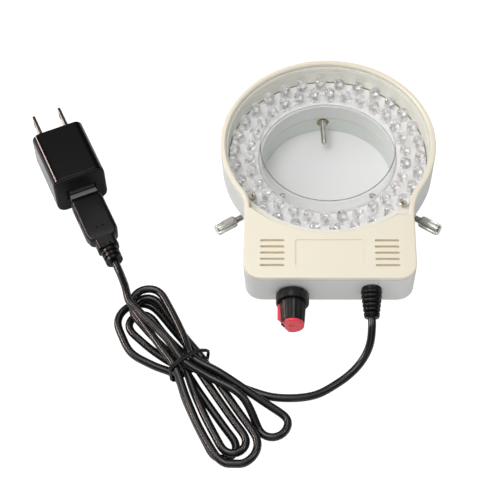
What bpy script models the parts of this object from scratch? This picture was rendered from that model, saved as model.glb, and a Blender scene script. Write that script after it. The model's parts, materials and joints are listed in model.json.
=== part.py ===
# Microscope ring light: a two-part plastic head with sixty LEDs round a wide bore, three
# thumbscrews that grip the lens barrel, a dimmer knob, and a tied-up lead whose USB plug
# sits in a small mains charger.
# Metres, +Z up. The ring's axis is vertical; the control block is at -Y.
# The origin is under the middle of the head's own box, on the table.

import math

import bmesh
import bpy
from mathutils import Matrix, Vector

# Ring, bore and levels of the head, measured from the table
bore_radius = 0.0305
ring_depth = 0.0185
ring_radius = bore_radius + ring_depth
head_top = 0.030
shell_seam = 0.0282
housing_bottom = 0.011
housing_floor = 0.0015
boss_bottom = 0.00915
board_ledge = 0.0157
tube_top = 0.0174
cover_ledge = 0.0246

# Walls and gaps
ring_wall = 0.003
block_wall = 0.0025
partition_wall = 0.0026
bore_tube_wall = 0.0011
ledge_width = 0.0019
wall_draft = 0.0005
bottom_round = 0.0008
clearance = 0.0003
overrun = 0.004

# Control block in plan, measured from the ring's axis
block_inset = 0.0116
block_half_width = ring_radius - block_inset
block_reach = 0.0255
block_front = ring_radius + block_reach
block_corner = 0.008
left_shoulder_inset = 0.012
left_shoulder = ring_radius - left_shoulder_inset
right_shoulder_inset = 0.008
right_shoulder = ring_radius - right_shoulder_inset

# Top shell
rim_width = 0.0024
rim_chamfer = 0.0006
top_edge = 0.0008
window_gap = 0.0014
window_front = ring_radius + window_gap
vent_count = 5
vent_length = 0.0107
vent_width = 0.0012
vent_pitch = 0.00324
vent_centre_x = 0.02485
vent_inset = 0.013
vent_middle = block_front - vent_inset
label_length = 0.030
label_width = 0.014
label_inset = 0.013
label_middle = block_front - label_inset
label_corner = 0.0012
label_depth = 0.00035

# Case screws and their pillars
case_screw_side_inset = 0.0072
case_screw_x = block_half_width - case_screw_side_inset
case_screw_inset = 0.0015
case_screw_y = case_screw_inset - ring_radius
front_screw_x = 0.0020
front_screw_inset = 0.0069
front_screw_y = front_screw_inset - block_front
case_screw_places = (
    (-case_screw_x, case_screw_y),
    (case_screw_x, case_screw_y),
    (front_screw_x, front_screw_y),
)
pillar_radius = 0.0034
pillar_top = 0.0203
shell_boss_radius = 0.0028
case_screw_radius = 0.0010
case_screw_length = 0.0127
case_head_radius = 0.0022
case_head_height = 0.0017
counterbore_depth = 0.0026

# Clear cover and its two screws
cover_thickness = 0.0012
cover_tube_wall = 0.0012
left_tab_inset = 0.0034
left_tab_reach = 0.0203
right_tab_inset = 0.0045
right_tab_reach = 0.0163
cover_screw_places = (
    (left_tab_inset - block_half_width, left_tab_reach - ring_radius),
    (block_half_width - right_tab_inset, right_tab_reach - ring_radius),
)
cover_boss_radius = 0.0020
cover_screw_radius = 0.0008
cover_screw_length = 0.0070
cover_head_radius = 0.0017
cover_head_height = 0.0009
cover_slot_width = 0.0005
cover_slot_depth = 0.0004

# LED board
inner_row_inset = 0.006
led_inner_row = bore_radius + inner_row_inset
row_spacing = 0.0065
led_outer_row = led_inner_row + row_spacing
board_margin = 0.0026
board_radius = led_outer_row + board_margin
board_thickness = 0.0016
leds_per_row = 30
led_radius = 0.0025
led_height = 0.0068
led_root = 0.0006
led_sides = 7
outer_row_turn = math.radians(9.7)

# Mounting collar
collar_wall = 0.0045
collar_radius = bore_radius + collar_wall
collar_chamfer = 0.0005
screw_height = 0.006
insert_radius = 0.0026

# Thumbscrews
thumb_radius = 0.00145
thumb_tip_radius = 0.0009
thumb_tip_length = 0.0010
thumb_grip_length = 0.027
thumb_socket_depth = 0.0050
thumb_head_radius = 0.0027
thumb_head_length = 0.010
thumb_head_chamfer = 0.0005
knurl_depth = 0.00022
knurl_count = 20
side_tip_reach = 0.007
side_screw_tip = bore_radius - side_tip_reach
rear_tip_reach = 0.013
rear_screw_tip = bore_radius - rear_tip_reach
rear_screw_turn = math.radians(93)
left_screw_turn = math.radians(213)
right_screw_turn = math.radians(327)

# Dimmer
knob_x = -0.0161
knob_z = 0.017
knob_length = 0.0165
knob_start = 0.0004
flange_radius = 0.0072
flange_length = 0.0048
flange_edge = 0.0003
grip_start_radius = 0.00585
grip_end_radius = 0.0052
grip_end = 0.0148
flute_count = 18
flute_depth = 0.0003
nut_pocket_radius = 0.0063
nut_pocket_depth = 0.0038
insert_cap_radius = 0.0051
insert_plug_radius = 0.0041
insert_plug_length = 0.0012
pointer_width = 0.0016
pointer_reach = 0.0065
pointer_root = 0.0046
facet_start = 0.0014
facet_run = 0.0038
facet_drop = 0.0028
shaft_radius = 0.0030
shaft_end = 0.0126
spindle_radius = 0.0017
spindle_root = -0.0040
bushing_radius = 0.0034
bushing_end = 0.0031
pot_width = 0.0095
pot_height = 0.0082
pot_depth = 0.0058
nut_radius = 0.0053
nut_thickness = 0.0020

# Control board
control_board_length = 0.048
control_board_width = 0.0136
control_board_gap = 0.0106
control_board_front = block_front - control_board_gap
control_board_back = control_board_front - control_board_width
control_board_bottom = 0.0143
control_post_radius = 0.0022
control_post_x = 0.020
control_post_inset = 0.0028

# Strain relief on the head
relief_x = 0.018
relief_z = 0.0195
relief_radius = 0.00455
relief_end_radius = 0.0033
relief_length = 0.0105
relief_droop = math.radians(17)
relief_knee = 0.0018
relief_neck_radius = 0.0030
relief_flange_radius = 0.0044
relief_flange_thickness = 0.0012
relief_groove_count = 4
relief_groove_depth = 0.0007
relief_groove_width = 0.0009

# Cord
cord_radius = 0.00175
strand_pitch = 0.0043
layer_pitch = 0.0041
first_layer = 0.0018
waist_lift = 0.0014
waist_lift_length = 0.012
tie_radius = 0.0005
tie_width_share = 1.8
tie_gap = 0.00035
tie_bulge = 0.0035

# Charger and plug, placed on the end face of the charger
charger_x = -0.1135
charger_ahead = 0.0605
charger_y = charger_ahead - block_front
charger_turn = math.radians(-65.5)
charger_length = 0.0312
charger_width = 0.0245
charger_height = 0.022
charger_round = 0.004
charger_wall = 0.0015
charger_cap_thickness = 0.0016
plug_axis_z = 0.011
usb_width = 0.012
usb_height = 0.0045
usb_wall = 0.0004
usb_insertion = 0.0130
usb_gap = 0.005
usb_seat = 0.0045
tongue_height = 0.0015
overmould_width = 0.0151
overmould_height = 0.0075
overmould_end = 0.030
overmould_taper = 0.003
overmould_corner = 0.002
neck_width = 0.0098
neck_height = 0.0070
plug_relief_start = 0.035
plug_relief_end = 0.0434
plug_relief_radius = 0.0042
plug_relief_end_radius = 0.0040
plug_relief_grooves = 3
plug_groove_depth = 0.0008
plug_groove_width = 0.0010
blade_spacing = 0.0127
blade_thickness = 0.0015
blade_height = 0.0063
blade_length = 0.0183
blade_root = 0.0045
blade_hole_radius = 0.0016
blade_hole_inset = 0.0035
blade_chamfer = 0.0010

ring_steps = 60
small_steps = 20

knob_reach = block_front + knob_length
rear_head_end = rear_screw_tip + thumb_grip_length + thumb_head_length
rear_reach = rear_head_end * math.sin(rear_screw_turn) + thumb_head_radius * abs(
    math.cos(rear_screw_turn)
)
ring_y = (knob_reach - rear_reach) / 2


# Frames: the ring's axis, each thumbscrew, and the pieces on the front wall
ring_frame = Matrix.Translation((0, ring_y, 0))
outward = Matrix.Rotation(math.radians(90), 4, "X")
knob_frame = Matrix.Translation((knob_x, ring_y - block_front, knob_z)) @ outward
relief_frame = Matrix.Translation((relief_x, ring_y - block_front, relief_z)) @ outward
relief_tail_frame = (
    relief_frame
    @ Matrix.Translation((0, 0, relief_knee))
    @ Matrix.Rotation(relief_droop, 4, "X")
)
charger_frame = Matrix.Translation(
    (charger_x, ring_y + charger_y, plug_axis_z)
) @ Matrix.Rotation(charger_turn, 4, "Z")
along_plug = charger_frame @ Matrix.Rotation(math.radians(90), 4, "Y")


def screw_frame(turn):
    lift = Matrix.Translation((0, ring_y, screw_height))
    tip_over = Matrix.Rotation(math.radians(90), 4, "Y")
    return lift @ Matrix.Rotation(turn, 4, "Z") @ tip_over


def new_collection(name):
    made = bpy.data.collections.new(name)
    bpy.context.scene.collection.children.link(made)
    return made


def new_object(name, data, place=ring_frame):
    made = bpy.data.objects.new(name, data)
    made.matrix_world = place
    parts.objects.link(made)
    return made


def as_tool(tool):
    parts.objects.unlink(tool)
    cutters.objects.link(tool)
    tool.hide_render = True
    tool.display_type = "WIRE"


def combine(target, tool, operation):
    as_tool(tool)
    step = target.modifiers.new(operation.title() + " " + tool.name, "BOOLEAN")
    step.operation = operation
    step.solver = "EXACT"
    step.object = tool


def cut(target, *tools):
    for tool in tools:
        combine(target, tool, "DIFFERENCE")


def join(target, *tools):
    for tool in tools:
        combine(target, tool, "UNION")


def mesh_from(name, shape):
    bmesh.ops.recalc_face_normals(shape, faces=shape.faces)
    mesh = bpy.data.meshes.new(name)
    shape.to_mesh(mesh)
    shape.free()
    return mesh


# A turned piece: the profile is (radius, height) pairs, down the outer side first
def turned(name, profile, steps, place=ring_frame, closed=False):
    mesh = bpy.data.meshes.new(name)
    edges = [(i, i + 1) for i in range(len(profile) - 1)]
    if closed:
        edges.append((len(profile) - 1, 0))
    mesh.from_pydata([(r, 0, z) for r, z in profile], edges, [])
    made = new_object(name, mesh, place)
    spin = made.modifiers.new("Turn", "SCREW")
    spin.steps = steps
    spin.render_steps = steps
    spin.use_merge_vertices = True
    spin.merge_threshold = 0.00001
    return made


def ring_piece(name, inner, outer, low, high, steps=ring_steps, place=ring_frame):
    profile = [(outer, high), (outer, low), (inner, low), (inner, high)]
    return turned(name, profile, steps, place, closed=True)


def disc(name, radius, low, high, steps=small_steps, place=ring_frame):
    profile = [(0, high), (radius, high), (radius, low), (0, low)]
    return turned(name, profile, steps, place)


# A solid whose sections are outlines with the same count of points, from low to high
def stacked(name, sections, place=ring_frame):
    shape = bmesh.new()
    rows = []
    for height, outline in sections:
        rows.append([shape.verts.new((x, y, height)) for x, y in outline])
    count = len(rows[0])
    for low, high in zip(rows, rows[1:]):
        for i in range(count):
            j = (i + 1) % count
            shape.faces.new((low[i], low[j], high[j], high[i]))
    shape.faces.new(rows[0][::-1])
    shape.faces.new(rows[-1])
    return new_object(name, mesh_from(name, shape), place)


def box(name, low, high, place=ring_frame):
    shape = bmesh.new()
    size = [b - a for a, b in zip(low, high)]
    middle = [(a + b) / 2 for a, b in zip(low, high)]
    fit = Matrix.Translation(middle) @ Matrix.Diagonal((*size, 1))
    bmesh.ops.create_cube(shape, size=1, matrix=fit)
    return new_object(name, mesh_from(name, shape), place)


def posts(name, places, radius, low, high, steps=small_steps):
    shape = bmesh.new()
    for x, y in places:
        bmesh.ops.create_cone(
            shape,
            cap_ends=True,
            segments=steps,
            radius1=radius,
            radius2=radius,
            depth=high - low,
            matrix=Matrix.Translation((x, y, (low + high) / 2)),
        )
    return new_object(name, mesh_from(name, shape))


def tube(name, points, radius, rounding, place=ring_frame, cyclic=False):
    line = bpy.data.curves.new(name, "CURVE")
    line.dimensions = "3D"
    line.bevel_depth = radius
    line.bevel_resolution = rounding
    line.use_fill_caps = not cyclic
    run = line.splines.new("POLY")
    run.points.add(len(points) - 1)
    run.use_cyclic_u = cyclic
    for slot, point in zip(run.points, points):
        slot.co = (*point, 1)
    return new_object(name, line, place)


def finish(piece, colour, roughness, metallic=0, see_through=0):
    made = bpy.data.materials.new(piece.name)
    made.use_nodes = True
    surface = made.node_tree.nodes["Principled BSDF"]
    surface.inputs["Base Color"].default_value = (*colour, 1)
    surface.inputs["Roughness"].default_value = roughness
    surface.inputs["Metallic"].default_value = metallic
    surface.inputs["Transmission Weight"].default_value = see_through
    piece.data.materials.append(made)
    if piece.type == "MESH":
        piece.data.shade_smooth()
        piece.data.set_sharp_from_angle(angle=math.radians(35))


def arc(centre_x, centre_y, radius, start, end, steps):
    angles = [start + (end - start) * i / steps for i in range(steps + 1)]
    return [
        (centre_x + radius * math.cos(a), centre_y + radius * math.sin(a))
        for a in angles
    ]


# The concave fillet from the ring to the block's side, as a list from the ring down
def shoulder(side, flat_start, inset, steps=6):
    spare = ring_radius - block_half_width
    reach = flat_start**2 + block_half_width**2 - ring_radius**2
    fillet = reach / (2 * spare)
    meet = math.atan2(flat_start, block_half_width + fillet)
    points = arc(
        block_half_width + fillet,
        -flat_start,
        fillet + inset,
        math.pi - meet,
        math.pi,
        steps,
    )
    return meet, [(side * x, y) for x, y in points]


def head_outline(inset):
    right_meet, right_side = shoulder(1, right_shoulder, inset)
    left_meet, left_side = shoulder(-1, left_shoulder, inset)
    back = arc(0, 0, ring_radius - inset, -right_meet, math.pi + left_meet, ring_steps)
    corner_x = block_half_width - block_corner
    corner_y = block_corner - block_front
    radius = block_corner - inset
    left_corner = arc(-corner_x, corner_y, radius, math.pi, 1.5 * math.pi, 6)
    right_corner = arc(corner_x, corner_y, radius, -0.5 * math.pi, 0, 6)
    return (
        back[1:-1] + left_side + left_corner + right_corner + list(reversed(right_side))
    )


def window_outline(inset):
    rim = rim_width + inset
    right_meet, right_side = shoulder(1, right_shoulder, rim)
    left_meet, left_side = shoulder(-1, left_shoulder, rim)
    back = arc(0, 0, ring_radius - rim, -right_meet, math.pi + left_meet, ring_steps)
    front = window_front - inset
    left_end = math.asin((left_shoulder - inset) / front)
    right_end = math.asin((right_shoulder - inset) / front)
    near = arc(0, 0, front, math.pi + left_end, 2 * math.pi - right_end, 24)
    left_side[-1] = (left_side[-1][0], inset - left_shoulder)
    right_side[-1] = (right_side[-1][0], inset - right_shoulder)
    return back[1:-1] + left_side + near + list(reversed(right_side))


def rounded_outline(half_x, half_y, corner, steps=4):
    x = half_x - corner
    y = half_y - corner
    quarter = math.pi / 2
    return (
        arc(x, y, corner, 0, quarter, steps)
        + arc(-x, y, corner, quarter, 2 * quarter, steps)
        + arc(-x, -y, corner, 2 * quarter, 3 * quarter, steps)
        + arc(x, -y, corner, 3 * quarter, 4 * quarter, steps)
    )


def moved(outline, x, y):
    return [(a + x, b + y) for a, b in outline]


def fluted_outline(radius, depth, count):
    points = []
    for i in range(2 * count):
        reach = radius - depth * (i % 2)
        turn = math.pi * i / count
        points.append((reach * math.cos(turn), reach * math.sin(turn)))
    return points


def make_top_shell():
    rounded = head_top - top_edge
    shell = stacked(
        "top_shell",
        [
            (shell_seam, head_outline(0)),
            (rounded, head_outline(0)),
            (rounded + top_edge * 0.7, head_outline(top_edge * 0.3)),
            (head_top, head_outline(top_edge)),
        ],
    )
    window = stacked(
        "window",
        [
            (shell_seam - overrun, window_outline(0)),
            (head_top - rim_chamfer, window_outline(0)),
            (head_top, window_outline(-rim_chamfer)),
            (head_top + overrun, window_outline(-rim_chamfer)),
        ],
    )
    cut(shell, window)
    slot = rounded_outline(vent_length / 2, vent_width / 2, vent_width * 0.45, 2)
    for side in (-1, 1):
        for i in range(vent_count):
            across = -vent_middle + (i - (vent_count - 1) / 2) * vent_pitch
            place = moved(slot, side * vent_centre_x, across)
            side_name = "left" if side < 0 else "right"
            vent = stacked(
                f"vent_{side_name}_{i + 1}",
                [(shell_seam - overrun, place), (head_top + overrun, place)],
            )
            cut(shell, vent)
    recess = moved(
        rounded_outline(label_length / 2, label_width / 2, label_corner),
        0,
        -label_middle,
    )
    label = stacked(
        "label_recess",
        [(head_top - label_depth, recess), (head_top + overrun, recess)],
    )
    cut(shell, label)
    boss_low = pillar_top + clearance
    boss_high = (shell_seam + head_top) / 2 - label_depth
    join(
        shell,
        posts("shell_bosses", case_screw_places, shell_boss_radius, boss_low, boss_high),
    )
    hole_high = case_shank_top() + clearance
    hole = case_screw_radius + clearance
    cut(
        shell,
        posts("shell_holes", case_screw_places, hole, boss_low - overrun, hole_high, 12),
    )
    finish(shell, (0.86, 0.80, 0.67), 0.45)


def case_head_low():
    return housing_bottom + counterbore_depth - clearance - case_head_height


def case_shank_top():
    return case_head_low() + case_head_height + case_screw_length


def make_lower_housing():
    top = shell_seam - clearance
    floor = housing_bottom + housing_floor
    housing = stacked(
        "lower_housing",
        [
            (housing_bottom, head_outline(wall_draft + bottom_round)),
            (housing_bottom + bottom_round, head_outline(wall_draft)),
            (top, head_outline(0)),
        ],
    )
    tube_outer = bore_radius + bore_tube_wall
    ledge_outer = tube_outer + ledge_width
    join(housing, disc("bore_boss", ledge_outer, boss_bottom, floor, ring_steps))
    cavity = ring_radius - ring_wall
    high = top + overrun
    ring_cavity = turned(
        "ring_cavity",
        [
            (0, high),
            (cavity, high),
            (cavity, floor),
            (ledge_outer, floor),
            (ledge_outer, board_ledge),
            (tube_outer, board_ledge),
            (tube_outer, tube_top),
            (0, tube_top),
        ],
        ring_steps,
    )
    cut(housing, ring_cavity)
    inner = block_wall + wall_draft
    block_cavity = stacked(
        "block_cavity", [(floor, head_outline(inner)), (high, head_outline(block_wall))]
    )
    partition = ring_radius - ring_wall + partition_wall
    low = floor - overrun
    cut(block_cavity, disc("partition_keep", partition, low, high + overrun, ring_steps))
    cut(housing, block_cavity)
    seat = ring_wall - rim_width
    cover_seat = stacked(
        "cover_seat", [(cover_ledge, window_outline(seat)), (high, window_outline(seat))]
    )
    cut(housing, cover_seat)
    low = (housing_bottom + floor) / 2
    join(
        housing,
        posts("pillars", case_screw_places, pillar_radius, low, pillar_top),
        posts(
            "cover_bosses",
            cover_screw_places,
            cover_boss_radius,
            low,
            cover_ledge,
        ),
        posts(
            "board_posts",
            board_post_places(),
            control_post_radius,
            low,
            control_board_bottom - clearance,
            12,
        ),
    )
    bore_low = boss_bottom - overrun
    cut(
        housing,
        disc("bore", bore_radius, bore_low, tube_top + overrun, ring_steps),
        posts(
            "case_holes",
            case_screw_places,
            case_screw_radius + clearance,
            bore_low,
            pillar_top + overrun,
            12,
        ),
        posts(
            "counterbores",
            case_screw_places,
            case_head_radius + clearance,
            bore_low,
            housing_bottom + counterbore_depth,
        ),
        posts(
            "cover_screw_holes",
            cover_screw_places,
            cover_screw_radius + clearance,
            cover_screw_low() - clearance,
            cover_ledge + overrun,
            12,
        ),
        disc(
            "bushing_hole",
            bushing_radius + clearance,
            -block_wall - overrun,
            overrun,
            small_steps,
            knob_frame,
        ),
        disc(
            "relief_hole",
            relief_neck_radius + clearance,
            -block_wall - overrun,
            overrun,
            small_steps,
            relief_frame,
        ),
    )
    finish(housing, (0.66, 0.67, 0.67), 0.5)


def board_post_places():
    front = control_post_inset - control_board_front
    back = -control_board_back - control_post_inset
    return [(x, y) for x in (-control_post_x, control_post_x) for y in (front, back)]


def make_case_screws():
    names = ("case_screw_left", "case_screw_right", "case_screw_front")
    low = case_head_low()
    neck = low + case_head_height
    for name, (x, y) in zip(names, case_screw_places):
        screw = turned(
            name,
            [
                (0, case_shank_top()),
                (case_screw_radius, case_shank_top()),
                (case_screw_radius, neck),
                (case_head_radius, neck),
                (case_head_radius, low),
                (0, low),
            ],
            12,
            ring_frame @ Matrix.Translation((x, y, 0)),
        )
        finish(screw, (0.6, 0.6, 0.6), 0.35, 1)


def cover_top():
    return cover_ledge + clearance + cover_thickness


def cover_screw_low():
    return cover_top() + clearance - cover_screw_length


def make_clear_cover():
    low = cover_ledge + clearance
    edge = ring_wall - rim_width + clearance
    cover = stacked(
        "clear_cover",
        [(low, window_outline(edge)), (cover_top(), window_outline(edge))],
    )
    outer = bore_radius + cover_tube_wall
    middle = (low + cover_top()) / 2
    join(cover, disc("cover_tube", outer, tube_top + clearance, middle, ring_steps))
    hole = cover_screw_radius + clearance
    cut(
        cover,
        disc("cover_bore", bore_radius, tube_top - overrun, head_top, ring_steps),
        posts("cover_holes", cover_screw_places, hole, low - overrun, head_top, 12),
    )
    finish(cover, (0.93, 0.94, 0.96), 0.08, 0, 0.9)


def make_cover_screws():
    for name, (x, y) in zip(("cover_screw_left", "cover_screw_right"), cover_screw_places):
        place = ring_frame @ Matrix.Translation((x, y, 0))
        neck = cover_top() + clearance
        top = neck + cover_head_height
        screw = turned(
            name,
            [
                (0, top),
                (cover_head_radius * 0.75, top),
                (cover_head_radius, neck + cover_head_height * 0.5),
                (cover_head_radius, neck),
                (cover_screw_radius, neck),
                (cover_screw_radius, cover_screw_low()),
                (0, cover_screw_low()),
            ],
            16,
            place,
        )
        half = cover_slot_width / 2
        reach = cover_head_radius + overrun
        floor = top - cover_slot_depth
        slots = [
            ((-reach, -half, floor), (reach, half, top + overrun)),
            ((-half, -reach, floor), (half, reach, top + overrun)),
        ]
        for i, (corner, far) in enumerate(slots):
            cut(screw, box(f"{name}_slot_{i + 1}", corner, far, place))
        finish(screw, (0.6, 0.58, 0.52), 0.3, 1)


def make_led_board():
    low = board_ledge + clearance
    high = low + board_thickness
    inner = bore_radius + bore_tube_wall + clearance
    board = ring_piece("led_board", inner, board_radius, low, high)
    notch = cover_boss_radius + clearance
    cut(
        board,
        posts("board_notches", cover_screw_places, notch, low - overrun, high + overrun),
    )
    shape = bmesh.new()
    body_top = high + led_height - led_radius
    body_low = high - led_root
    step = 2 * math.pi / leds_per_row
    rows = (
        (led_outer_row, outer_row_turn),
        (led_inner_row, outer_row_turn + step / 2),
    )
    for radius, start in rows:
        for i in range(leds_per_row):
            turn = start + i * step
            x = radius * math.cos(turn)
            y = radius * math.sin(turn)
            bmesh.ops.create_cone(
                shape,
                cap_ends=True,
                segments=led_sides,
                radius1=led_radius,
                radius2=led_radius,
                depth=body_top - body_low,
                matrix=Matrix.Translation((x, y, (body_low + body_top) / 2)),
            )
            round_off_led(shape, x, y, body_top)
    leds = new_object("leds", mesh_from("leds", shape))
    join(board, leds)
    finish(board, (0.82, 0.83, 0.84), 0.4)


# The flat top of an LED's body is drawn up and in twice, which makes its dome
def round_off_led(shape, x, y, body_top):
    shape.faces.ensure_lookup_table()
    cap = max(shape.faces[-led_sides - 2 :], key=lambda face: face.calc_center_median().z)
    centre = Vector((x, y, 0))
    dome_shares = ((0.87, 0.5), (0.5, 0.87))
    below = 1
    level = body_top
    for width_share, height_share in dome_shares:
        made = bmesh.ops.extrude_discrete_faces(shape, faces=[cap])
        cap = made["faces"][0]
        rise = body_top + led_radius * height_share - level
        level += rise
        for corner in cap.verts:
            flat = corner.co - centre
            corner.co.x = centre.x + flat.x * width_share / below
            corner.co.y = centre.y + flat.y * width_share / below
            corner.co.z += rise
        below = width_share


def make_collar():
    top = boss_bottom - clearance
    edge = collar_chamfer
    collar = turned(
        "mounting_collar",
        [
            (collar_radius - edge, top),
            (collar_radius, top - edge),
            (collar_radius, edge),
            (collar_radius - edge, 0),
            (bore_radius, 0),
            (bore_radius, top),
        ],
        ring_steps,
        closed=True,
    )
    for name, turn in screw_turns():
        hole = disc(
            f"insert_hole_{name}",
            insert_radius + clearance,
            bore_radius - overrun,
            collar_radius + overrun,
            small_steps,
            screw_frame(turn),
        )
        cut(collar, hole)
    finish(collar, (0.55, 0.56, 0.56), 0.5)


def screw_turns():
    return (
        ("rear", rear_screw_turn),
        ("left", left_screw_turn),
        ("right", right_screw_turn),
    )


def make_thumbscrews():
    tips = {"rear": rear_screw_tip, "left": side_screw_tip, "right": side_screw_tip}
    for name, turn in screw_turns():
        place = screw_frame(turn)
        insert = ring_piece(
            f"insert_{name}",
            thumb_radius + clearance,
            insert_radius,
            bore_radius + clearance,
            collar_radius - clearance,
            small_steps,
            place,
        )
        finish(insert, (0.72, 0.55, 0.25), 0.35, 1)
        tip = tips[name]
        head_low = tip + thumb_grip_length
        shank_top = head_low + thumb_socket_depth - clearance
        shank = turned(
            f"{name}_screw_shank",
            [
                (0, shank_top),
                (thumb_radius, shank_top),
                (thumb_radius, tip + thumb_tip_length),
                (thumb_tip_radius, tip),
                (0, tip),
            ],
            16,
            place,
        )
        finish(shank, (0.62, 0.62, 0.60), 0.3, 1)
        head_high = head_low + thumb_head_length
        edge = thumb_head_chamfer
        narrow = fluted_outline(thumb_head_radius - edge, knurl_depth, knurl_count)
        wide = fluted_outline(thumb_head_radius, knurl_depth, knurl_count)
        head = stacked(
            f"{name}_screw_head",
            [
                (head_low, narrow),
                (head_low + edge, wide),
                (head_high - edge, wide),
                (head_high, narrow),
            ],
            place,
        )
        socket = disc(
            f"{name}_head_socket",
            thumb_radius + clearance,
            head_low - overrun,
            head_low + thumb_socket_depth,
            16,
            place,
        )
        cut(head, socket)
        finish(head, (0.70, 0.70, 0.68), 0.28, 1)


def make_knob():
    flange_end = knob_start + flange_length
    edge = flange_edge
    knob = turned(
        "knob",
        [
            (0, flange_end),
            (flange_radius - edge, flange_end),
            (flange_radius, flange_end - edge),
            (flange_radius, knob_start + edge),
            (flange_radius - edge, knob_start),
            (0, knob_start),
        ],
        32,
        knob_frame,
    )
    grip = stacked(
        "knob_grip",
        [
            (
                flange_end - edge,
                fluted_outline(grip_start_radius, flute_depth, flute_count),
            ),
            (grip_end, fluted_outline(grip_end_radius, flute_depth, flute_count)),
        ],
        knob_frame,
    )
    join(knob, grip)
    half_slot = pointer_width / 2 + clearance
    slot_floor = clearance - pointer_root
    plug_floor = grip_end + clearance - insert_plug_length - clearance
    cut(
        knob,
        disc(
            "nut_pocket",
            nut_pocket_radius,
            knob_start - overrun,
            nut_pocket_depth,
            small_steps,
            knob_frame,
        ),
        disc("shaft_bore", shaft_radius + clearance, 0, shaft_end + clearance, 16, knob_frame),
        disc(
            "insert_pocket",
            insert_plug_radius + clearance,
            plug_floor,
            grip_end + overrun,
            small_steps,
            knob_frame,
        ),
        box(
            "pointer_slot",
            (-flange_radius - overrun, -half_slot, flange_end + clearance),
            (slot_floor, half_slot, grip_end + overrun),
            knob_frame,
        ),
    )
    finish(knob, (0.03, 0.03, 0.032), 0.5)
    make_knob_insert(flange_end)


def make_knob_insert(flange_end):
    under = grip_end + clearance
    edge = flange_edge
    insert = turned(
        "knob_insert",
        [
            (0, knob_length),
            (insert_cap_radius - edge, knob_length),
            (insert_cap_radius, knob_length - edge),
            (insert_cap_radius, under),
            (insert_plug_radius, under),
            (insert_plug_radius, under - insert_plug_length),
            (0, under - insert_plug_length),
        ],
        small_steps,
        knob_frame,
    )
    half = pointer_width / 2
    pointer = box(
        "pointer",
        (-pointer_reach, -half, flange_end + 2 * clearance),
        (-pointer_root, half, knob_length - edge),
        knob_frame,
    )
    join(insert, pointer)
    along = 2
    facet = [
        (-facet_start, knob_length),
        (-facet_start - facet_run * along, knob_length - facet_drop * along),
        (-facet_start - facet_run * along, knob_length + overrun),
        (-facet_start, knob_length + overrun),
    ]
    facet = [(x, -z) for x, z in facet]
    upright = knob_frame @ Matrix.Rotation(math.radians(90), 4, "X")
    wide = flange_radius + overrun
    wedge = stacked("facet", [(-wide, facet[::-1]), (wide, facet[::-1])], upright)
    cut(insert, wedge)
    finish(insert, (0.75, 0.06, 0.09), 0.4)


def make_dimmer():
    back = -block_wall - wall_draft - clearance
    shaft = turned(
        "pot_shaft",
        [
            (0, shaft_end),
            (shaft_radius, shaft_end),
            (shaft_radius, bushing_end + clearance),
            (spindle_radius, bushing_end + clearance),
            (spindle_radius, spindle_root),
            (0, spindle_root),
        ],
        16,
        knob_frame,
    )
    finish(shaft, (0.65, 0.65, 0.63), 0.35, 1)
    pot = box(
        "pot_body",
        (-pot_width / 2, -pot_height / 2, back - pot_depth),
        (pot_width / 2, pot_height / 2, back),
        knob_frame,
    )
    middle = back - pot_depth / 2
    join(pot, disc("bushing", bushing_radius, middle, bushing_end, 20, knob_frame))
    cut(
        pot,
        disc(
            "spindle_bore",
            spindle_radius + clearance,
            spindle_root - clearance,
            bushing_end + overrun,
            16,
            knob_frame,
        ),
    )
    finish(pot, (0.20, 0.30, 0.24), 0.5)
    nut_low = clearance
    nut = ring_piece(
        "pot_nut",
        bushing_radius + clearance,
        nut_radius,
        nut_low,
        nut_low + nut_thickness,
        6,
        knob_frame,
    )
    hole = disc(
        "nut_hole",
        bushing_radius + clearance,
        nut_low - overrun,
        nut_low + nut_thickness + overrun,
        20,
        knob_frame,
    )
    cut(nut, hole)
    finish(nut, (0.65, 0.65, 0.63), 0.35, 1)


def make_control_board():
    half = control_board_length / 2
    board = box(
        "control_board",
        (-half, -control_board_front, control_board_bottom),
        (half, -control_board_back, control_board_bottom + board_thickness),
    )
    finish(board, (0.05, 0.22, 0.12), 0.5)


def grooved(length, start_radius, end_radius, grooves, depth, width):
    points = [(0, length), (end_radius, length)]
    step = length / (grooves + 0.5)
    for i in range(grooves):
        middle = length - step * (i + 0.75)
        share = middle / length
        radius = start_radius * (1 - share) + end_radius * share
        points += [
            (radius, middle + width / 2),
            (radius - depth, middle + width / 4),
            (radius - depth, middle - width / 4),
            (radius, middle - width / 2),
        ]
    return points


def make_strain_relief():
    profile = grooved(
        relief_length,
        relief_radius,
        relief_end_radius,
        relief_groove_count,
        relief_groove_depth,
        relief_groove_width,
    )
    profile += [(relief_radius, 0), (0, 0)]
    inner_face = -block_wall - wall_draft - clearance
    relief = turned(
        "strain_relief",
        [
            (0, relief_knee * 2),
            (relief_radius, relief_knee * 2),
            (relief_radius, clearance),
            (relief_neck_radius, clearance),
            (relief_neck_radius, inner_face),
            (relief_flange_radius, inner_face),
            (relief_flange_radius, inner_face - relief_flange_thickness),
            (0, inner_face - relief_flange_thickness),
        ],
        16,
        relief_frame,
    )
    join(relief, turned("relief_tail", profile, 16, relief_tail_frame))
    finish(relief, (0.03, 0.03, 0.03), 0.5)


# Cord route. The hank is drawn in its own frame: u along it, positive to the lower
# right, v across it, both from the tie, and every strand passes the tie in its slot.
hank_x = -0.0607
hank_ahead = 0.0296
hank_y = -block_front - hank_ahead
hank_turn = math.radians(-56.8)


def hank_point(u, v, z):
    along = Vector((math.cos(hank_turn), math.sin(hank_turn)))
    across = Vector((-along.y, along.x))
    spot = along * u + across * v
    return Vector((hank_x + spot.x, hank_y + spot.y, z))


def smooth(share):
    share = min(max(share, 0), 1)
    return share * share * (3 - 2 * share)


def layer(number):
    return first_layer + (number - 1) * layer_pitch


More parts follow.
